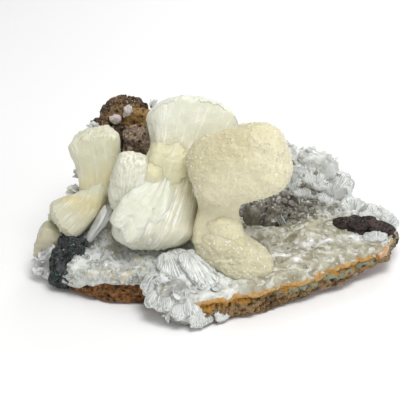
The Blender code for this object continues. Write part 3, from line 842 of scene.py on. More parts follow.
def crust_grid():
    """Rings from the middle out to the rim on top, then down over the rock's edge and back underneath."""
    angle = np.linspace(0, 2 * math.pi, CRUST_COLUMNS, endpoint=False)[None, :]
    share = np.linspace(0.02, 1.0, CRUST_ROWS)[:, None] ** 0.8 * CRUST_RIM
    x, y = ring(share, angle)
    upper = np.stack([x, y, crust_top(x, y)], axis=-1)
    x, y = ring(np.array([[CRUST_RIM]]), angle)
    drape = sum(drop * bump_at(x, y, centre, reach) for centre, reach, drop in CRUST_DRAPES)
    bottom = slab_top(x, y) - 0.2 - drape - 1.0 * np.abs(noise(np.stack([x, y, 0 * x], axis=-1), 3.0, 12))
    down = np.array([0.12, 0.35, 0.6, 0.85, 1.0])[:, None]
    out = np.minimum(0.05, 0.018 * drape) * np.array([0.4, 0.8, 1.0, 1.0, 0.8])[:, None]
    x, y = ring(CRUST_OVERHANG + out, angle)
    edge = np.stack([x, y, upper[-1:, :, 2] * (1 - down) + bottom * down], axis=-1)
    x, y = ring(np.array([[0.93], [0.6]]), angle)
    lower = np.stack([x, y, slab_top(x, y) - 1.2], axis=-1)
    shown = np.concatenate([np.ones(CRUST_ROWS), [1, 1, 1, 0.8, 0.4, 0, 0]])[:, None]
    edge_share = np.concatenate([np.zeros(CRUST_ROWS), down[:, 0], [0, 0]])[:, None]
    return np.concatenate([upper, edge, lower]), shown, edge_share


def druse(points, seed):
    """Relief of grown crystals: soft mounds, rounded clusters, large and small planes and fine grains."""
    nearest = cellular(points, 3.2, seed + 2)[0]
    cluster = np.sqrt(np.maximum(0, 1 - (nearest / 0.8) ** 2))
    mounds = 0.8 * rugged(points, 5.0, seed, 2) + 0.3 * (cluster - 0.6)
    planes = 0.7 * facets(points, 4.2, seed + 8, 1.0) + 0.28 * facets(points, 1.6, seed + 4)
    return mounds + planes + 0.12 * facets(points, 0.8, seed + 6)


def rosettes(points, size, seed):
    """Fibres that spread from scattered points: noise of the angle about the nearest, and its distance."""
    nearest, _, offset, number = cellular(points, size, seed)
    angle = np.arctan2(offset[..., 1] + 0.4 * offset[..., 2], offset[..., 0])
    turn = np.stack([np.cos(angle), np.sin(angle), 9.0 * number], axis=-1)
    return noise(turn, 0.3, seed + 7) + 0.7 * noise(turn, 0.13, seed + 8), nearest


crust_points, crust_shown, crust_edge = crust_grid()
crust_x, crust_y = crust_points[..., 0], crust_points[..., 1]
hollow = bump_at(crust_x, crust_y, *HOLLOW)
silver = np.maximum(bump_at(crust_x, crust_y, *BACK_WALL), bump_at(crust_x, crust_y, *RIGHT_SHELF))
silver = silver * (1 - 0.8 * hollow)
whitish = bump_at(crust_x, crust_y, *NEAR_CORNER)
waxy = np.clip((crust_x - 4) / 8, 0, 1) * np.clip((12 - crust_y) / 4, 0, 1) * (1 - whitish)
along_rim = crust_points * (0.45, 1.0, 1.0) + np.stack([0 * crust_x, -0.25 * crust_x, 0 * crust_x], axis=-1)
waves = 0.9 * rugged(along_rim, 3.4, 47, 2) + 0.25 * facets(along_rim, 1.7, 48, 1.0)
waves = waves + 0.10 * facets(crust_points, 0.9, 49)
radiant = np.maximum(silver, whitish)
fibre, from_middle = rosettes(crust_points, 7.0, 61)
sprays = 0.22 * fibre + 1.6 * (0.5 - from_middle) + 0.3 * facets(crust_points, 2.6, 62)
crust_height = druse(crust_points, 31) * 0.8 * (1 - 0.9 * waxy) * (1 - 0.8 * radiant)
crust_height = crust_height + waxy * waves + radiant * sprays
patches = sum(bump_at(crust_x, crust_y, *patch) for patch in SHEEN_PATCHES)
sheen = np.clip(patches * (1 + 1.2 * noise(crust_points, 1.6, 50)), 0, 1)
crust_height = crust_height + 1.3 * bump_at(crust_x, crust_y, *LIP) * (0.7 + rugged(crust_points, 1.8, 58))
crust_height = (crust_height + hollow * (0.8 * ridged(crust_points, 2.6, 59) - 0.8)) * crust_shown
crust_points = crust_points + outward_normals(crust_points) * crust_height[..., None]
masks = {"hollow": hollow, "silver": silver, "waxy": waxy, "whitish": whitish, "relief": crust_height}
masks.update({"edge": crust_edge, "sheen": sheen, "fibre": radiant * (0.5 + 0.6 * fibre)})
crust_skin = closed_skin("crust_skin", crust_points, masks)
print("crust rises to", round(float(crust_points[..., 2].max()), 1), "mm")

# %% [markdown]
# ## Finishes of the small crystals
# Small crystals look white because light enters them, bounces about and comes out again, and they sparkle
# because their faces are mirrors. So these finishes let light soak in, and tilt the normals grain by grain.
# The body is painted darker and browner where the relief is low, a painted shade in the gaps, and a few
# patches are painted near white as painted sheen.

# %% Crystal finishes
GREY_GREEN = (0.58, 0.60, 0.54)
PALE_GREY = (0.76, 0.78, 0.74)
HONEY = (0.58, 0.53, 0.38)
SNOW = (0.88, 0.89, 0.87)
SHEEN = (0.95, 0.96, 0.97)
WAX = (0.30, 0.275, 0.185)
PALE_WAX = (0.47, 0.45, 0.34)
ICE = (0.50, 0.52, 0.48)
SILVER = (0.50, 0.51, 0.49)
GREY_GAP_SHADE = (0.19, 0.19, 0.175)
GAP_SHADE_BROWN = (0.20, 0.16, 0.10)
HOLLOW_SHADE_BROWN = (0.06, 0.04, 0.022)
RUST_YELLOW = (0.58, 0.37, 0.13)

crust_finish, shader = new_finish("crust_finish", 0.5, 2.2, Roughness=0.3, Specular_IOR_Level=0.6)
wax_streaks = blend(level(cloud(4.5, 6), 0.4, 0.6), WAX, PALE_WAX)
at_edge = plus(stored("edge"), times(cloud(2.0), 1.1))
on_right = level(along_axis("X"), -0.014, -0.002)
rust_tone = blend(level(cloud(1.2, 5), 0.45, 0.6), RUST_ORANGE, RUST_YELLOW)
crust_layers = (
    (level(cloud(4.0), 0.42, 0.6), PALE_GREY),
    (level(cloud(7.0, 5), 0.52, 0.62), HONEY),
    (times(level(cloud(1.4, 5), 0.52, 0.66), 0.6), SNOW),
    (stored("waxy"), wax_streaks),
    (times(stored("silver"), 0.75), ICE),
    (times(stored("whitish"), 0.5), SILVER),
    (level(stored("fibre"), 0.45, 0.9), SNOW),
    (times(level(grain(1.5, "Color"), 0.66, 0.68), 0.4), SNOW),
    # Painted sheen: bright patches of near white.
    (stored("sheen"), SHEEN),
    # Painted shade: low relief is darker and browner, and grey in the gaps of the near corner.
    (times(level(stored("relief"), -0.5, -1.3), 0.5), GAP_SHADE_BROWN),
    (times(level(stored("relief"), 0.15, -0.7), stored("whitish")), GREY_GAP_SHADE),
    (times(level(at_edge, 1.04, 1.16), on_right), rust_tone),
    # Painted shade: the hollow behind the front sheaf is painted dark brown.
    (times(stored("hollow"), level(cloud(2.4, 5), 0.7, 0.5)), HOLLOW_SHADE_BROWN),
)
feed(shader, painted(GREY_GREEN, crust_layers), glitter(0.7, 0.5))
dress(crust_skin, crust_finish, "crystal_crust")


def crystal_finish(name, body, other, see_through, roughness=0.15, soak=0.5, snow=0.5):
    """A small crystal: light soaks into or passes its pale body, and its tint differs from the next one's."""
    values = dict(Roughness=roughness, IOR=1.5, Transmission_Weight=see_through, Specular_IOR_Level=0.6)
    material, shader = new_finish(name, soak, 1.2, **values)
    layers = ((stored("shade"), other), (times(level(cloud(0.8, 3), 0.45, 0.62), snow), SNOW))
    feed(shader, painted(body, layers), bump(cloud(0.3, 3), 0.08, 0.5))
    return material


CRYSTALS = {
    "grey_crystal": ((0.58, 0.60, 0.54), (0.82, 0.83, 0.78), 0.25),
    "snow_crystal": ((0.84, 0.85, 0.83), SNOW, 0.0, 0.22),
    "clear_crystal": ((0.90, 0.92, 0.90), (0.97, 0.97, 0.96), 0.8, 0.06, 0.0),
    "wax_crystal": ((0.55, 0.51, 0.36), (0.76, 0.74, 0.62), 0.25),
    "silver_crystal": ((0.76, 0.77, 0.75), (0.92, 0.93, 0.91), 0.1, 0.18),
    "tip_crystal": ((0.76, 0.72, 0.52), (0.80, 0.76, 0.58), 0.0, 0.25, 0.5, 0.1),
    "smoky_crystal": ((0.30, 0.27, 0.20), (0.50, 0.48, 0.42), 0.4, 0.12, 0.2, 0.2),
}
crystals = {name: crystal_finish(name, *values) for name, values in CRYSTALS.items()}
print("crystals:", sorted(crystals))

# %% [markdown]
# ## Crystals of the crust
# Each zone has its own habit. Blocky grey-green grains stand at the left, and broad white blades fan out at
# the near corner. Thin tablets lie in the waxy band, and smoky grains line the hollow. They are sown on the
# skin at random places, weighted by the zone's mask. Small crystals grow in tufts, so each leans away from
# the middle of its tuft.

# %% Small crystals on the crust
UNDER_CENTRE = ((-17, -8), (9, 8), 3)
UNDER_FOOT = ((4, -17), (8, 4.5), 3)
TUFT = 3.2
covered = np.maximum(bump_at(crust_x, crust_y, *UNDER_CENTRE), bump_at(crust_x, crust_y, *UNDER_FOOT))
open_crust = crust_shown * (1 - np.clip(covered, 0, 1)) * (crust_shown > 0.5)
greenish = np.clip((-6 - crust_x) / 6, 0, 1) * (1 - whitish)


def sow_crystals(name, finish, place_on, count, seed, long, wide, flatness, lean, sunk=0.5, tip=0.4):
    """Crystals on a grid: each starts below it, and its length and width are drawn between two limits."""
    feet, normal, random = sown(*place_on, count, seed)
    spread = cellular(feet, TUFT, seed)[2]
    direction = unit(normal + 1.3 * spread + lean * random.normal(size=(count, 3)))
    length = random.uniform(*long, count)
    feet = feet - direction * (length * sunk)[:, None]
    width = random.uniform(*wide, count)
    turn = random.uniform(0, math.pi, count)
    thing = crystal_field(name, feet, direction, length, width, flatness, turn, tip)
    dress(thing, crystals[finish], "front_sheaf" if name == "barrel_tips" else "crystal_crust")


SOWN = {
    "grey_grains": ("grey_crystal", greenish, 900, 1, (1.0, 2.2), (0.4, 1.0), 0.7, 0.3, 0.65),
    "clear_grains": ("clear_crystal", greenish + 0.1, 260, 2, (1.2, 2.2), (0.3, 0.7), 0.6, 0.4),
    "near_blades": ("silver_crystal", whitish, 50, 3, (2.0, 4.6), (0.8, 1.8), 0.2, 0.25, 0.5, 0.8),
    "wax_tablets": ("wax_crystal", waxy, 110, 4, (1.0, 2.0), (0.5, 1.2), 0.5, 0.5, 0.78, 0.8),
    "hollow_grains": ("smoky_crystal", hollow, 420, 5, (1.2, 3.0), (0.5, 1.2), 0.7, 0.4),
    "shelf_shards": ("silver_crystal", silver, 90, 6, (1.6, 3.6), (0.7, 1.5), 0.2, 0.3, 0.5, 0.8),
}
for name, (finish, zone, *values) in SOWN.items():
    sow_crystals(name, finish, (crust_points, open_crust * zone), *values)

# %% [markdown]
# ## Fans, tufts and large blades
# Silvery fans cover the back wall and the near corner: half-round plates whose fibres spread from one point
# at the foot, and shine like silk along them, by paler fibres with painted sheen and painted shade in the
# gaps between. Tufts are blades that start from one centre. The largest single blades are packs of thin
# sheets, because stilbite splits along its flat faces.

# %% Fans
FANS = (
    ((33.3, 24.0, 19.2), (6.2, 2.0, 5.0), (-37, 20, 0)),
    ((39.2, 23.6, 15.6), (4.8, 2.0, 5.0), (-32, 48, 0)),
    ((25.6, 25.4, 21.6), (4.8, 1.8, 4.2), (-37, -15, 0)),
    ((29.2, 22.6, 15.6), (5.2, 1.7, 3.8), (-42, 10, 0)),
    ((23.4, 23.2, 17.6), (4.2, 1.7, 3.8), (-35, -30, 0)),
    ((36.8, 21.0, 12.4), (4.4, 1.6, 3.4), (-45, 25, 0)),
    ((44.2, 16.4, 11.8), (4.8, 1.6, 3.2), (-50, 30, 0)),
    ((50.4, 12.4, 12.0), (4.6, 1.6, 2.8), (-50, 20, 0)),
    ((54.0, 6.4, 12.4), (3.2, 1.5, 2.4), (-40, 35, 0)),
    ((-10.8, -22.4, 13.0), (6.2, 1.9, 7.2), (114, 0, 34)),
    ((-5.2, -23.6, 13.8), (4.6, 1.8, 7.0), (118, 0, 40)),
    ((-15.4, -30.6, 9.6), (5.0, 2.0, 5.2), (140, 0, -28)),
    ((-9.6, -32.4, 7.4), (4.6, 1.8, 4.6), (142, 0, 14)),
    ((-4.2, -33.0, 3.4), (4.8, 1.3, 2.8), (152, 0, 40)),
    ((46.6, 6.4, 13.6), (3.2, 1.1, 2.0), (-55, 0, 0)),
    ((49.0, -1.2, 11.4), (3.8, 1.1, 2.0), (-70, 0, 10)),
    ((-18.0, -25.6, 10.0), (4.0, 1.8, 4.4), (122, 0, -30)),
    ((2.0, -30.0, 3.2), (3.6, 1.1, 2.4), (150, 0, 50)),
)


def fan_skin(name, node, finish, form, seed, rows=36, columns=54):
    """A flat block, grooved along lines that spread from its foot by noise of the angle at the foot."""
    centre, half, lean = form
    grid = block_grid((0, 0, 0), half, (0, 0, 0), 0.7, rows, columns)
    above_foot = grid[..., 2] + 1.25 * half[2]
    angle = np.arctan2(grid[..., 0], above_foot)
    bundle = np.stack([angle * 1.3, 0.25 * grid[..., 1] / half[1], 0 * angle + seed], axis=-1)
    height = 0.2 * noise(bundle, 0.13, seed) + 0.12 * noise(bundle, 0.05, seed + 1)
    height = height + 0.4 * facets(grid, 2.6, seed)
    reach = np.hypot(grid[..., 0], above_foot)
    grid = grid + unit(grid) * (height + 0.10 * (reach - half[2]) * noise(bundle, 0.2, seed + 2))[..., None]
    grid = turned(grid, lean) + centre
    grid[..., 2] = np.maximum(grid[..., 2], 0.1)
    layers = {"waist": 0.1, "relief": height, "warmth_and_shade": 0.0, "bundle": bundle}
    dress(closed_skin(name, grid, layers), finish, node)


def silk_finish(name, body, other, streak_sheen, gap_shade):
    """Satin fibres over a body of two tones: bright streaks, partly a paler tone and partly painted sheen,
    and dark gaps of painted shade.
    """
    material, shader = new_finish(name, 0.5, 1.0, Roughness=0.3, Specular_IOR_Level=0.6)
    fibre = along_blades(22.0, 4.0)
    layers = (
        (level(cloud(3.0, 5), 0.42, 0.58), other),
        (level(fibre, 0.48, 0.62), streak_sheen),
        (level(fibre, 0.42, 0.32), gap_shade),
    )
    feed(shader, painted(body, layers), bump(grain(0.5), 0.1, 0.4, bump(fibre, 0.3, 0.7)))
    return material


# Body, second tone, streaks that are partly a paler tone and partly painted sheen, and painted shade for the
# gaps.
SILVER_TONES = ((0.46, 0.48, 0.46), (0.66, 0.68, 0.65), SNOW, GREY_GAP_SHADE)
CREAM_TONES = ((0.66, 0.65, 0.52), (0.76, 0.75, 0.62), (0.82, 0.82, 0.72), (0.58, 0.56, 0.42))
silver_silk = silk_finish("silver_silk", *SILVER_TONES)
cream_silk = silk_finish("cream_silk", *CREAM_TONES)
for number, form in enumerate(FANS):
    fan_skin(f"silk_fan_{number}", "crystal_crust", silver_silk, form, 200 + number)

# %% Tufts and large blades
TUFTS = {
    "tuft_right_of_knob": ((-19.6, 20.4, 45.6), (0.2, -0.4, 0.9), 3.0, 26, 0.5, "silver_crystal"),
    "tuft_left_of_ledge": ((-37.0, 15.6, 40.6), (-0.7, -0.4, 0.6), 3.6, 34, 0.5, "silver_crystal"),
    "tuft_left_waist": ((-42.4, 3.4, 25.4), (-0.8, -0.5, 0.4), 4.2, 44, 0.5, "snow_crystal"),
    "tuft_left_low": ((-45.4, 1.6, 22.4), (-0.8, -0.6, 0.2), 2.8, 30, 0.5, "snow_crystal"),
    "tuft_rear_left": ((-40.0, 12.0, 26.0), (-0.8, 0.4, 0.5), 5.0, 50, 0.5, "grey_crystal"),
    "tuft_foot_left": ((-4.6, -17.6, 12.6), (-0.5, -0.6, 0.5), 3.0, 30, 0.5, "snow_crystal"),
    "tuft_foot_right": ((16.0, -15.4, 9.6), (0.5, -0.5, 0.6), 2.6, 24, 0.5, "wax_crystal"),
    "spray_near_high": ((-15.0, -20.0, 8.6), (0.5, -0.7, 0.5), 6.4, 30, 0.25, "silver_crystal"),
    "spray_near_left": ((-16.5, -25.0, 6.4), (-0.45, -0.8, 0.25), 5.4, 30, 0.3, "silver_crystal"),
    "spray_under_edge": ((-5.0, -28.6, 3.2), (0.5, -0.8, -0.25), 5.4, 36, 0.3, "silver_crystal"),
    "spray_left_end": ((-51.0, -5.0, 5.0), (-0.5, -0.8, 0.2), 4.2, 36, 0.4, "snow_crystal"),
}
LARGE_BLADES = (
    ((-38.5, -8.5, 15.5), (0.52, -0.06, 0.85), 14.0, 2.2, 0.7, 0.2),
    ((-16, -20, 9), (0.25, -0.5, 0.8), 8, 3.4, 1.2, 0.5),
    ((-10, -23, 8), (0.55, -0.65, 0.45), 9, 2.6, 1.2, 1.2),
    ((-13, -26, 5), (-0.2, -0.8, 0.4), 7, 2.6, 1.2, 0.2),
    ((-6.5, -20, 9), (0.1, -0.4, 0.9), 6.5, 2.2, 1.0, 2.0),
    ((-26, -17, 9), (-0.3, -0.6, 0.7), 5.5, 1.8, 0.8, 0.8),
    ((-33, -14, 11), (0.1, -0.6, 0.8), 5, 1.8, 0.8, 2.2),
    ((22, 12, 6), (-0.3, -0.35, 0.9), 7.5, 2, 0.6, 0.4),
    ((34, 24, 18), (0.5, -0.3, 0.8), 7, 2.2, 0.8, 0.4),
    ((38, 21, 14), (0.8, -0.4, 0.4), 6.5, 2, 0.8, 1.4),
    ((26, 24, 18), (-0.2, -0.6, 0.8), 6.5, 2.2, 0.9, 1.0),
    ((44, 12.5, 10), (0.5, 0.1, 0.6), 7, 2.4, 0.7, 2.4),
)
SHEETS = 5


def tuft(name, centre, outward, radius, count, spread, finish, seed):
    """Blades from one centre, towards random places on the outer half of a ball."""
    random = np.random.default_rng(seed)
    direction = unit(unit(np.array(outward, float)) + random.normal(size=(count, 3)) * spread)
    length = radius * random.uniform(0.6, 1.1, count)
    feet = np.array(centre) - direction * 0.2 * radius
    width = radius * random.uniform(0.12, 0.26, count)
    turn = random.uniform(0, math.pi, count)
    blades = crystal_field(name, feet, direction, length, width, 0.3, turn, 0.7, 1.2)
    dress(blades, crystals[finish], "crystal_crust")


for number, (name, values) in enumerate(TUFTS.items()):
    tuft(name, *values, 300 + number)

each = np.repeat(np.arange(len(LARGE_BLADES)), SHEETS)
feet, ways, long, wide, thick, twist = (np.array(values, float)[each] for values in zip(*LARGE_BLADES))
sheet = np.tile(np.linspace(-1, 1, SHEETS), len(LARGE_BLADES))
random = np.random.default_rng(9)
ways = unit(ways)
flat_way = square_to(ways, twist)[1]
feet = feet + flat_way * (sheet * thick * 0.8)[:, None]
sheet_ways = unit(ways + 0.04 * sheet[:, None] * flat_way + 0.03 * random.normal(size=ways.shape))
sheet_long = long * (1 - 0.12 * np.abs(sheet) - 0.08 * random.random(len(sheet)))
sheet_wide = wide * (1 - 0.15 * random.random(len(sheet)))
thinness = float((thick / wide).mean()) * 0.22
blades = crystal_field("large_blades", feet, sheet_ways, sheet_long, sheet_wide, thinness, twist, 0.8, 1.15)
dress(blades, crystals["snow_crystal"], "crystal_crust")

# %% [markdown]
# ## Masses at the rim
# Two masses of white blades hang over the near corner, down to the table, and one more lies at the left end
# below the tan crystal. Each is a block with the crust's relief, sown with blades.

# %% Masses of white blades
RIM_MASSES = {
    "corner_mass": (((-13.5, -28.0, 8.0), (7.0, 4.6, 6.6), (20, 0, -35)), 26),
    "corner_foot": (((-11.0, -32.0, 4.4), (4.6, 2.8, 4.0), (0, 0, -10)), 12),
    "left_mass": (((-50.4, -3.2, 6.4), (4.9, 8.4, 6.4), (0, 8, 0)), 60),
}
for number, (name, (form, count)) in enumerate(RIM_MASSES.items()):
    mass_grid = block_grid(*form, rows=60, columns=96)
    fibre, from_middle = rosettes(mass_grid, 6.0, 95 + number)
    relief = 0.25 * fibre + 1.4 * (0.5 - from_middle) + 0.3 * druse(mass_grid, 90 + number) - 0.3
    mass_grid = mass_grid + outward_normals(mass_grid) * relief[..., None]
    mass_grid[..., 2] = np.maximum(mass_grid[..., 2], 0.15)
    masks = {**dict.fromkeys(masks, 0.0), "whitish": 0.8, "relief": relief, "fibre": fibre}
    dress(closed_skin(name, mass_grid, masks), crust_finish, "crystal_crust")
    above = np.clip(mass_grid[..., 2] - 1.5, 0, 1)
    sizes = ((1.6, 3.6), (0.6, 1.5), 0.2, 0.3)
    sow_crystals(f"{name}_blades", "silver_crystal", (mass_grid, above), count, 70 + number, *sizes)

# %% [markdown]
# ## Stilbite
# Stilbite grows as sheaves: bundles of thin blades, tied at the waist and spread at both ends like a sheaf
# of wheat. Along the sides the blades show as fine silky stripes that fan out from the waist, and at the
# ends their tips make a crisp, grainy rim. The relief is noise that changes fast around the sheaf and
# hardly at all along it. The same stretched coordinates are kept on the mesh, so that the stripes of the
# finish follow the blades. On a dome they first run on towards the rim, and then close to the middle, where
# the blades are seen end on.

# %% Skins of the sheaves
def sheaf_skin(name, node, finish, spec, seed, fineness):
    """A sheaf with striped sides and grainy ends. On a dome, the stripes run most of the way over it."""
    grid, share, around, scale, ahead = sheaf_grid(*fineness, **spec)
    from_waist = np.abs(2 * share - 1)
    crisp = np.where(share < 0.5, *spec["crisp"])
    reach = np.minimum(1, scale / (0.7 + 0.25 * crisp))
    bundle = np.stack([np.cos(around) * reach, np.sin(around) * reach, 0.3 * share + 0 * around], axis=-1)
    stripes = 0.12 * noise(bundle, 0.3, seed) + 0.1 * noise(bundle, 0.12, seed + 1)
    stripes = stripes + 0.09 * noise(bundle, 0.05, seed + 2)
    on_cap = np.clip((1 - reach) * 3, 0, 1)
    tips = 0.4 * facets(grid, 0.9, seed + 4) + 0.25 * noise(grid, 1.6, seed + 5)
    height = stripes * (0.3 + 0.8 * from_waist) + tips * (0.25 + 0.45 * on_cap)
    height = height + 0.35 * noise(grid, 5.0, seed + 6) + 0.2 * noise(grid, 2.4, seed + 9)
    uneven = 0.5 * noise(bundle, 0.12, seed + 7) + 0.4 * noise(bundle, 0.045, seed + 8)
    uneven = uneven * np.sign(1 - 2 * share)
    grid = grid + outward_normals(grid) * height[..., None]
    grid = grid + ahead * (uneven * np.clip(2 * from_waist - 1, 0, 1) ** 2)[..., None]
    lower_end = np.clip(2 * share - 1, 0, 1)
    # Painted shade: the lower end is darker on one side, stored with the warmth.
    shade = np.clip(1.6 * lower_end, 0, 1) * np.clip(0.75 + 0.45 * np.cos(around), 0, 1)
    layers = {"waist": 1 - from_waist, "relief": height, "warmth_and_shade": shade, "glint": 0.4, "bundle": bundle}
    dress(closed_skin(name, grid, layers), finish, node)


# %% [markdown]
# ## Finish of the stilbite
# Stilbite is pale and slightly see-through, so light soaks into it. The waist, where the blades are packed,
# is a warmer yellow, and the spread ends are nearly white. The lower end of a sheaf is painted darker on
# one side, and the grooves in the warmer colour: painted shade. Silky stripes run along the blades, partly
# a paler tone and partly painted sheen. Where blades are seen end on, as on the barrel, the surface is like
# sugar: fine grains, a few of which are painted white as painted glints.

# %% Stilbite finishes
IVORY = (0.76, 0.765, 0.64)
BUTTER = (0.70, 0.63, 0.36)
# White of the silky fibres, used for painted sheen and painted glints.
SILK_SHEEN = (0.90, 0.90, 0.82)
CREAM = (0.75, 0.70, 0.49)
FOOT_CREAM = (0.645, 0.602, 0.421)
FOOT_SAND = (0.528, 0.48, 0.304)
SAND = (0.66, 0.60, 0.38)
SHADED = (0.60, 0.58, 0.44)
SOAK_COLOURS = (1.0, 0.85, 0.55)


def soaked(name, roughness):
    """A material into which light soaks, yellow further than blue."""
    return new_finish(name, 0.5, 2.4, SOAK_COLOURS, Roughness=roughness, Specular_IOR_Level=0.5)


def stilbite_finish(name, pale, warm, silky):
    """Striped stilbite: warm at the waist, pale at the ends, with white silk along the blades that is partly
    painted sheen, and painted shade at the lower end and in the grooves.
    """
    material, shader = soaked(name, 0.42)
    fine = along_blades(18.0, 5.0)
    patch = plus(along_blades(4.0, 3.0), times(cloud(4.0), 0.6))
    silk = times(level(fine, 0.46, 0.62), silky)
    layers = (
        (level(stored("waist"), 0.15, 0.95), warm),
        # Painted shade at the lower end of the sheaf, darker on one side.
        (times(stored("warmth_and_shade"), 0.75), SHADED),
        # White silk along the blades: partly a paler tone, partly painted sheen.
        (times(silk, level(patch, 0.75, 0.9)), SILK_SHEEN),
        # Painted shade: where the relief is low, in the grooves, the darker warm colour.
        (level(stored("relief"), -0.2, -0.8), warm),
    )
    feed(shader, painted(pale, layers), bump(grain(0.5), 0.15, 0.5, bump(fine, 0.3, 0.6)))
    return material


def sugary_finish(name, pale, warm, glint=0.4, flecks=0.8):
    """Granular stilbite: the tips of blades seen end on, a few of them painted bright as painted glints."""
    material, shader = soaked(name, 0.36)
    # Warm where the stored warmth and shade is high: tan on the barrel, painted shade at the stalk's lower
    # end.
    patch = plus(stored("warmth_and_shade"), times(cloud(6.0, 4), 0.6))
    # Painted glints: a few grains painted white, as far as the stored glint allows.
    painted_glints = times(level(grain(0.45, "Color"), flecks, flecks + 0.05), stored("glint"))
    layers = ((level(patch, 0.5, 1.1), warm), (painted_glints, SILK_SHEEN))
    feed(shader, painted(pale, layers), bump(cloud(0.45, 4), 0.2, 0.6, glitter(0.42, glint)))
    return material


pale_stilbite = stilbite_finish("pale_stilbite", IVORY, BUTTER, 0.9)
yellow_stilbite = stilbite_finish("yellow_stilbite", (0.70, 0.69, 0.52), (0.70, 0.63, 0.37), 0.5)
shoulder_stilbite = stilbite_finish("shoulder_stilbite", (0.72, 0.69, 0.47), BUTTER, 0.4)
sugar_stilbite = sugary_finish("sugar_stilbite", CREAM, SAND)
foot_stilbite = sugary_finish("foot_stilbite", FOOT_CREAM, FOOT_SAND, 0.4, 0.78)
tan_stilbite = sugary_finish("tan_stilbite", (0.58, 0.55, 0.40), (0.55, 0.51, 0.35), 0.2)
print("stilbite finishes ready")

# %% [markdown]
# ## The three sheaves
# The centre sheaf leans back and is joined by a shoulder of shorter blades and a white lobe. The front
# sheaf is seen end on, as a barrel on a stalk with a foot. The left sheaf is bent at its waist.

# %% Centre and left sheaves
CENTRE_SHEAF = {
    "ends": ((-7.2, 5.5, 46.6), (-11.8, -1.5, 34.5), (-18.6, -10.5, 20.2)),
    "width": (13.8, 8.6, 12.4),
    "depth": (6.4, 6.2, 8.8),
    "domes": (8.6, 6.8),
    "crisp": (0.85, 0.0),
    "sides": ((1, 0.05, -0.2), (1, 0.05, -0.14)),
}
LEFT_SHEAF = {
    "ends": ((-36.6, 4.6, 40.4), (-36.2, 0.6, 27.0), (-42.4, -2.2, 19.4)),
    "width": (7.8, 5.8, 7.6),
    "depth": (6.6, 5.2, 5.8),
    "domes": (4.4, 3.6),
    "crisp": (0.8, 0.2),
    "sides": ((1, 0, 0.22), (1, 0, 0.5)),
}
sheaf_skin("centre_bow_tie", "centre_sheaf", pale_stilbite, CENTRE_SHEAF, 31, (300, 100, 26))
sheaf_skin("left_bow_tie", "left_sheaf", yellow_stilbite, LEFT_SHEAF, 61, (240, 90, 22))

# %% Lobes, barrel, foot and tan crystal
FRONT_STALK = {
    "ends": ((3.0, -12.0, 35.0), (0.6, -12.8, 28.0), (1.6, -15.8, 18.5)),
    "width": (9.0, 6.0, 8.6),
    "depth": (6.0, 4.8, 6.0),
    "domes": (2.0, 3.0),
    "crisp": (0.0, 0.0),
    "sides": ((1, 0, 0), (1, 0, -0.1)),
}


def lobe(
    name, node, finish, form, boxy, seed, rows, columns,
    bumps=(0.5, 0.3), warmth_and_shade=0.4, glint=0.6, spread=(0, 0),
):
    """A block with sugary relief: soft lumps, and small planes that lean each their own way.

    With a spread, the half below the middle is pushed sideways, further the lower it is.
    """
    grid = block_grid(*form, boxy, rows, columns)
    grid[..., :2] += np.maximum(0, form[0][2] + 1.5 - grid[..., 2:]) * spread
    lumps, grains = bumps
    planes = facets(grid, 1.1, seed + 1) + 0.4 * facets(grid, 0.6, seed + 2)
    height = lumps * rugged(grid, 3.6, seed, 3) + grains * planes
    grid = grid + outward_normals(grid) * (height - 0.25 * grains)[..., None]
    warm, bright = (value(grid) if callable(value) else value for value in (warmth_and_shade, glint))
    dress(closed_skin(name, grid, {"relief": height, "warmth_and_shade": warm, "glint": bright}), finish, node)
    return grid


def barrel_warmth(grid):
    """Tan at the top and the left, and paler towards the front and the right."""
    return np.clip(0.35 + 0.05 * (grid[..., 2] - 44) - 0.035 * (grid[..., 0] - 4), 0, 1)


def barrel_glint(grid):
    """Painted glints at the left end and the right edge, and hardly any between."""
    return np.clip((-grid[..., 0] - 1) / 4, 0.15, 1) + np.clip((grid[..., 0] - 15) / 5, 0, 0.7)


SHOULDER = ((-15.4, -3.6, 35.8), (7.0, 5.4, 9.6), (-10, 24, 0))
WHITE_LOBE = ((-26.0, -8.6, 34.6), (5.6, 4.8, 9.4), (0, 10, 0))
CENTRE_FAN = ((-21.4, -12.4, 28.2), (7.8, 4.4, 10.8), (30, -145, 0))
LINKING_LOBE = ((-21.4, -7.4, 34.0), (4.8, 4.2, 6.8), (0, 24, 0))
LEFT_TOE = {
    "ends": ((-36.8, -0.2, 28.0), (-40.2, -2.2, 24.2), (-45.2, -4.4, 20.0)),
    "width": (5.0, 5.6, 6.4),
    "depth": (4.6, 5.0, 5.6),
    "domes": (1.5, 3.6),
    "crisp": (0.0, 0.3),
    "sides": ((0.9, 0, 0.3), (0.6, -0.2, -0.75)),
}
BARREL = ((6.8, -11.8, 42.6), (14.9, 8.4, 11.1), (-24, -18, -4))
SADDLE = ((2.4, -15.4, 21.6), (5.8, 4.9, 7.6), (0, -24, 0))
FOOT = ((4.6, -17.2, 15.4), (11.6, 5.8, 6.2), (0, 27, 0))
UNDER_LOBE = ((13.0, -6.5, 32.5), (3.6, 3.2, 3.6), (0, 30, 0))
TAN_CRYSTAL = ((-50.0, -3.6, 11.6), (4.8, 4.2, 5.8), (0, 24, 0))
fan_skin("centre_shoulder", "centre_sheaf", shoulder_stilbite, SHOULDER, 41, 90, 140)
fan_skin("white_lobe", "centre_sheaf", cream_silk, WHITE_LOBE, 42, 80, 120)
fan_skin("centre_fan", "centre_sheaf", pale_stilbite, CENTRE_FAN, 46, 90, 150)
sheaf_skin("left_toe", "left_sheaf", yellow_stilbite, LEFT_TOE, 63, (160, 60, 20))
fan_skin("linking_lobe", "centre_sheaf", shoulder_stilbite, LINKING_LOBE, 43, 60, 90)
barrel_looks = ((0.35, 0.2), barrel_warmth, barrel_glint)
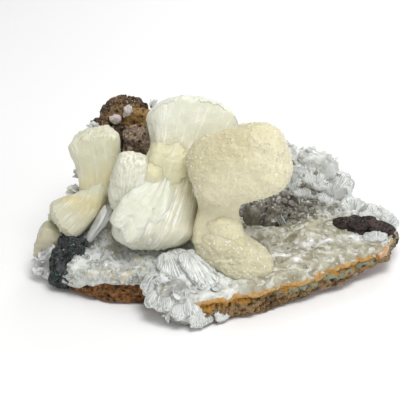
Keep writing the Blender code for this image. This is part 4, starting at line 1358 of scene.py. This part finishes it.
barrel_points = lobe("front_barrel", "front_sheaf", sugar_stilbite, BARREL, 0.62, 51, 140, 210, *barrel_looks)
sheaf_skin("front_stalk", "front_sheaf", sugar_stilbite, FRONT_STALK, 52, (160, 64, 18))
lobe("front_saddle", "front_sheaf", sugar_stilbite, SADDLE, 0.75, 55, 60, 90)
lobe("front_foot", "front_sheaf", foot_stilbite, FOOT, 0.75, 53, 100, 150, spread=(0.3, -0.36))
lobe("under_lobe", "front_sheaf", sugar_stilbite, UNDER_LOBE, 0.8, 54, 40, 60)
lobe("tan_block", "tan_crystal", tan_stilbite, TAN_CRYSTAL, 0.44, 71, 60, 90, (0.5, 0.14), 0.4, 0.0)

# %% Lobes of the hollow and tips on the barrel
HOLLOW_LOBES = (
    ((11.0, 13.0, 9.4), (2.6, 2.4, 5.0), (6, 8, 0), "smoky_crystal"),
    ((16.6, 9.8, 5.6), (1.8, 1.8, 1.8), (0, 0, 0), "grey_crystal"),
    ((18.0, 15.0, 6.6), (3.2, 2.6, 2.8), (0, 20, 0), "smoky_crystal"),
    ((19.0, 19.0, 9.2), (2.6, 2.2, 2.4), (0, 0, 0), "smoky_crystal"),
    ((26.0, 18.0, 8.6), (2.2, 2.0, 2.0), (0, 10, 0), "grey_crystal"),
    ((32.0, 17.4, 9.0), (2.2, 2.0, 2.0), (0, 0, 0), "grey_crystal"),
    ((7.6, 16.0, 8.0), (2.4, 2.4, 3.2), (0, 0, 0), "smoky_crystal"),
    ((22.8, 13.2, 5.6), (1.7, 1.6, 1.6), (0, 0, 0), "grey_crystal"),
    ((13.6, 19.4, 9.6), (2.4, 2.0, 2.4), (0, 0, 0), "smoky_crystal"),
    ((28.6, 20.6, 11.4), (1.8, 1.6, 1.7), (0, 0, 0), "silver_crystal"),
)
for number, (*form, finish) in enumerate(HOLLOW_LOBES):
    values = (crystals[finish], form, 0.8, 500 + number, 24, 36, (0.5, 0.4))
    lobe(f"hollow_lobe_{number}", "crystal_crust", *values)

TIP_SIZES = ((0.7, 1.1), (0.14, 0.26), 0.6, 0.3, 0.62, 0.5)
sow_crystals("barrel_tips", "tip_crystal", (barrel_points, 1.0), 1300, 81, *TIP_SIZES)

# %% [markdown]
# ## Put everything on the frame
# Every piece stands on the one fixed body, and the box of what shows is printed next to the box of the
# solids.

# %% Print the boxes and finish
shown_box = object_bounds()
sizes = {"cad": [list(corner) for corner in cad_box], "visual": [list(corner) for corner in shown_box]}
print("cad", [[round(c * 1000, 1) for c in corner] for corner in cad_box])
print("shown", [[round(c * 1000, 1) for c in corner] for corner in shown_box])
meshes = [thing.data for thing in scene.objects if thing.type == "MESH" and not thing.hide_render]
print("triangles", sum(len(polygon.vertices) - 2 for mesh in meshes for polygon in mesh.polygons))
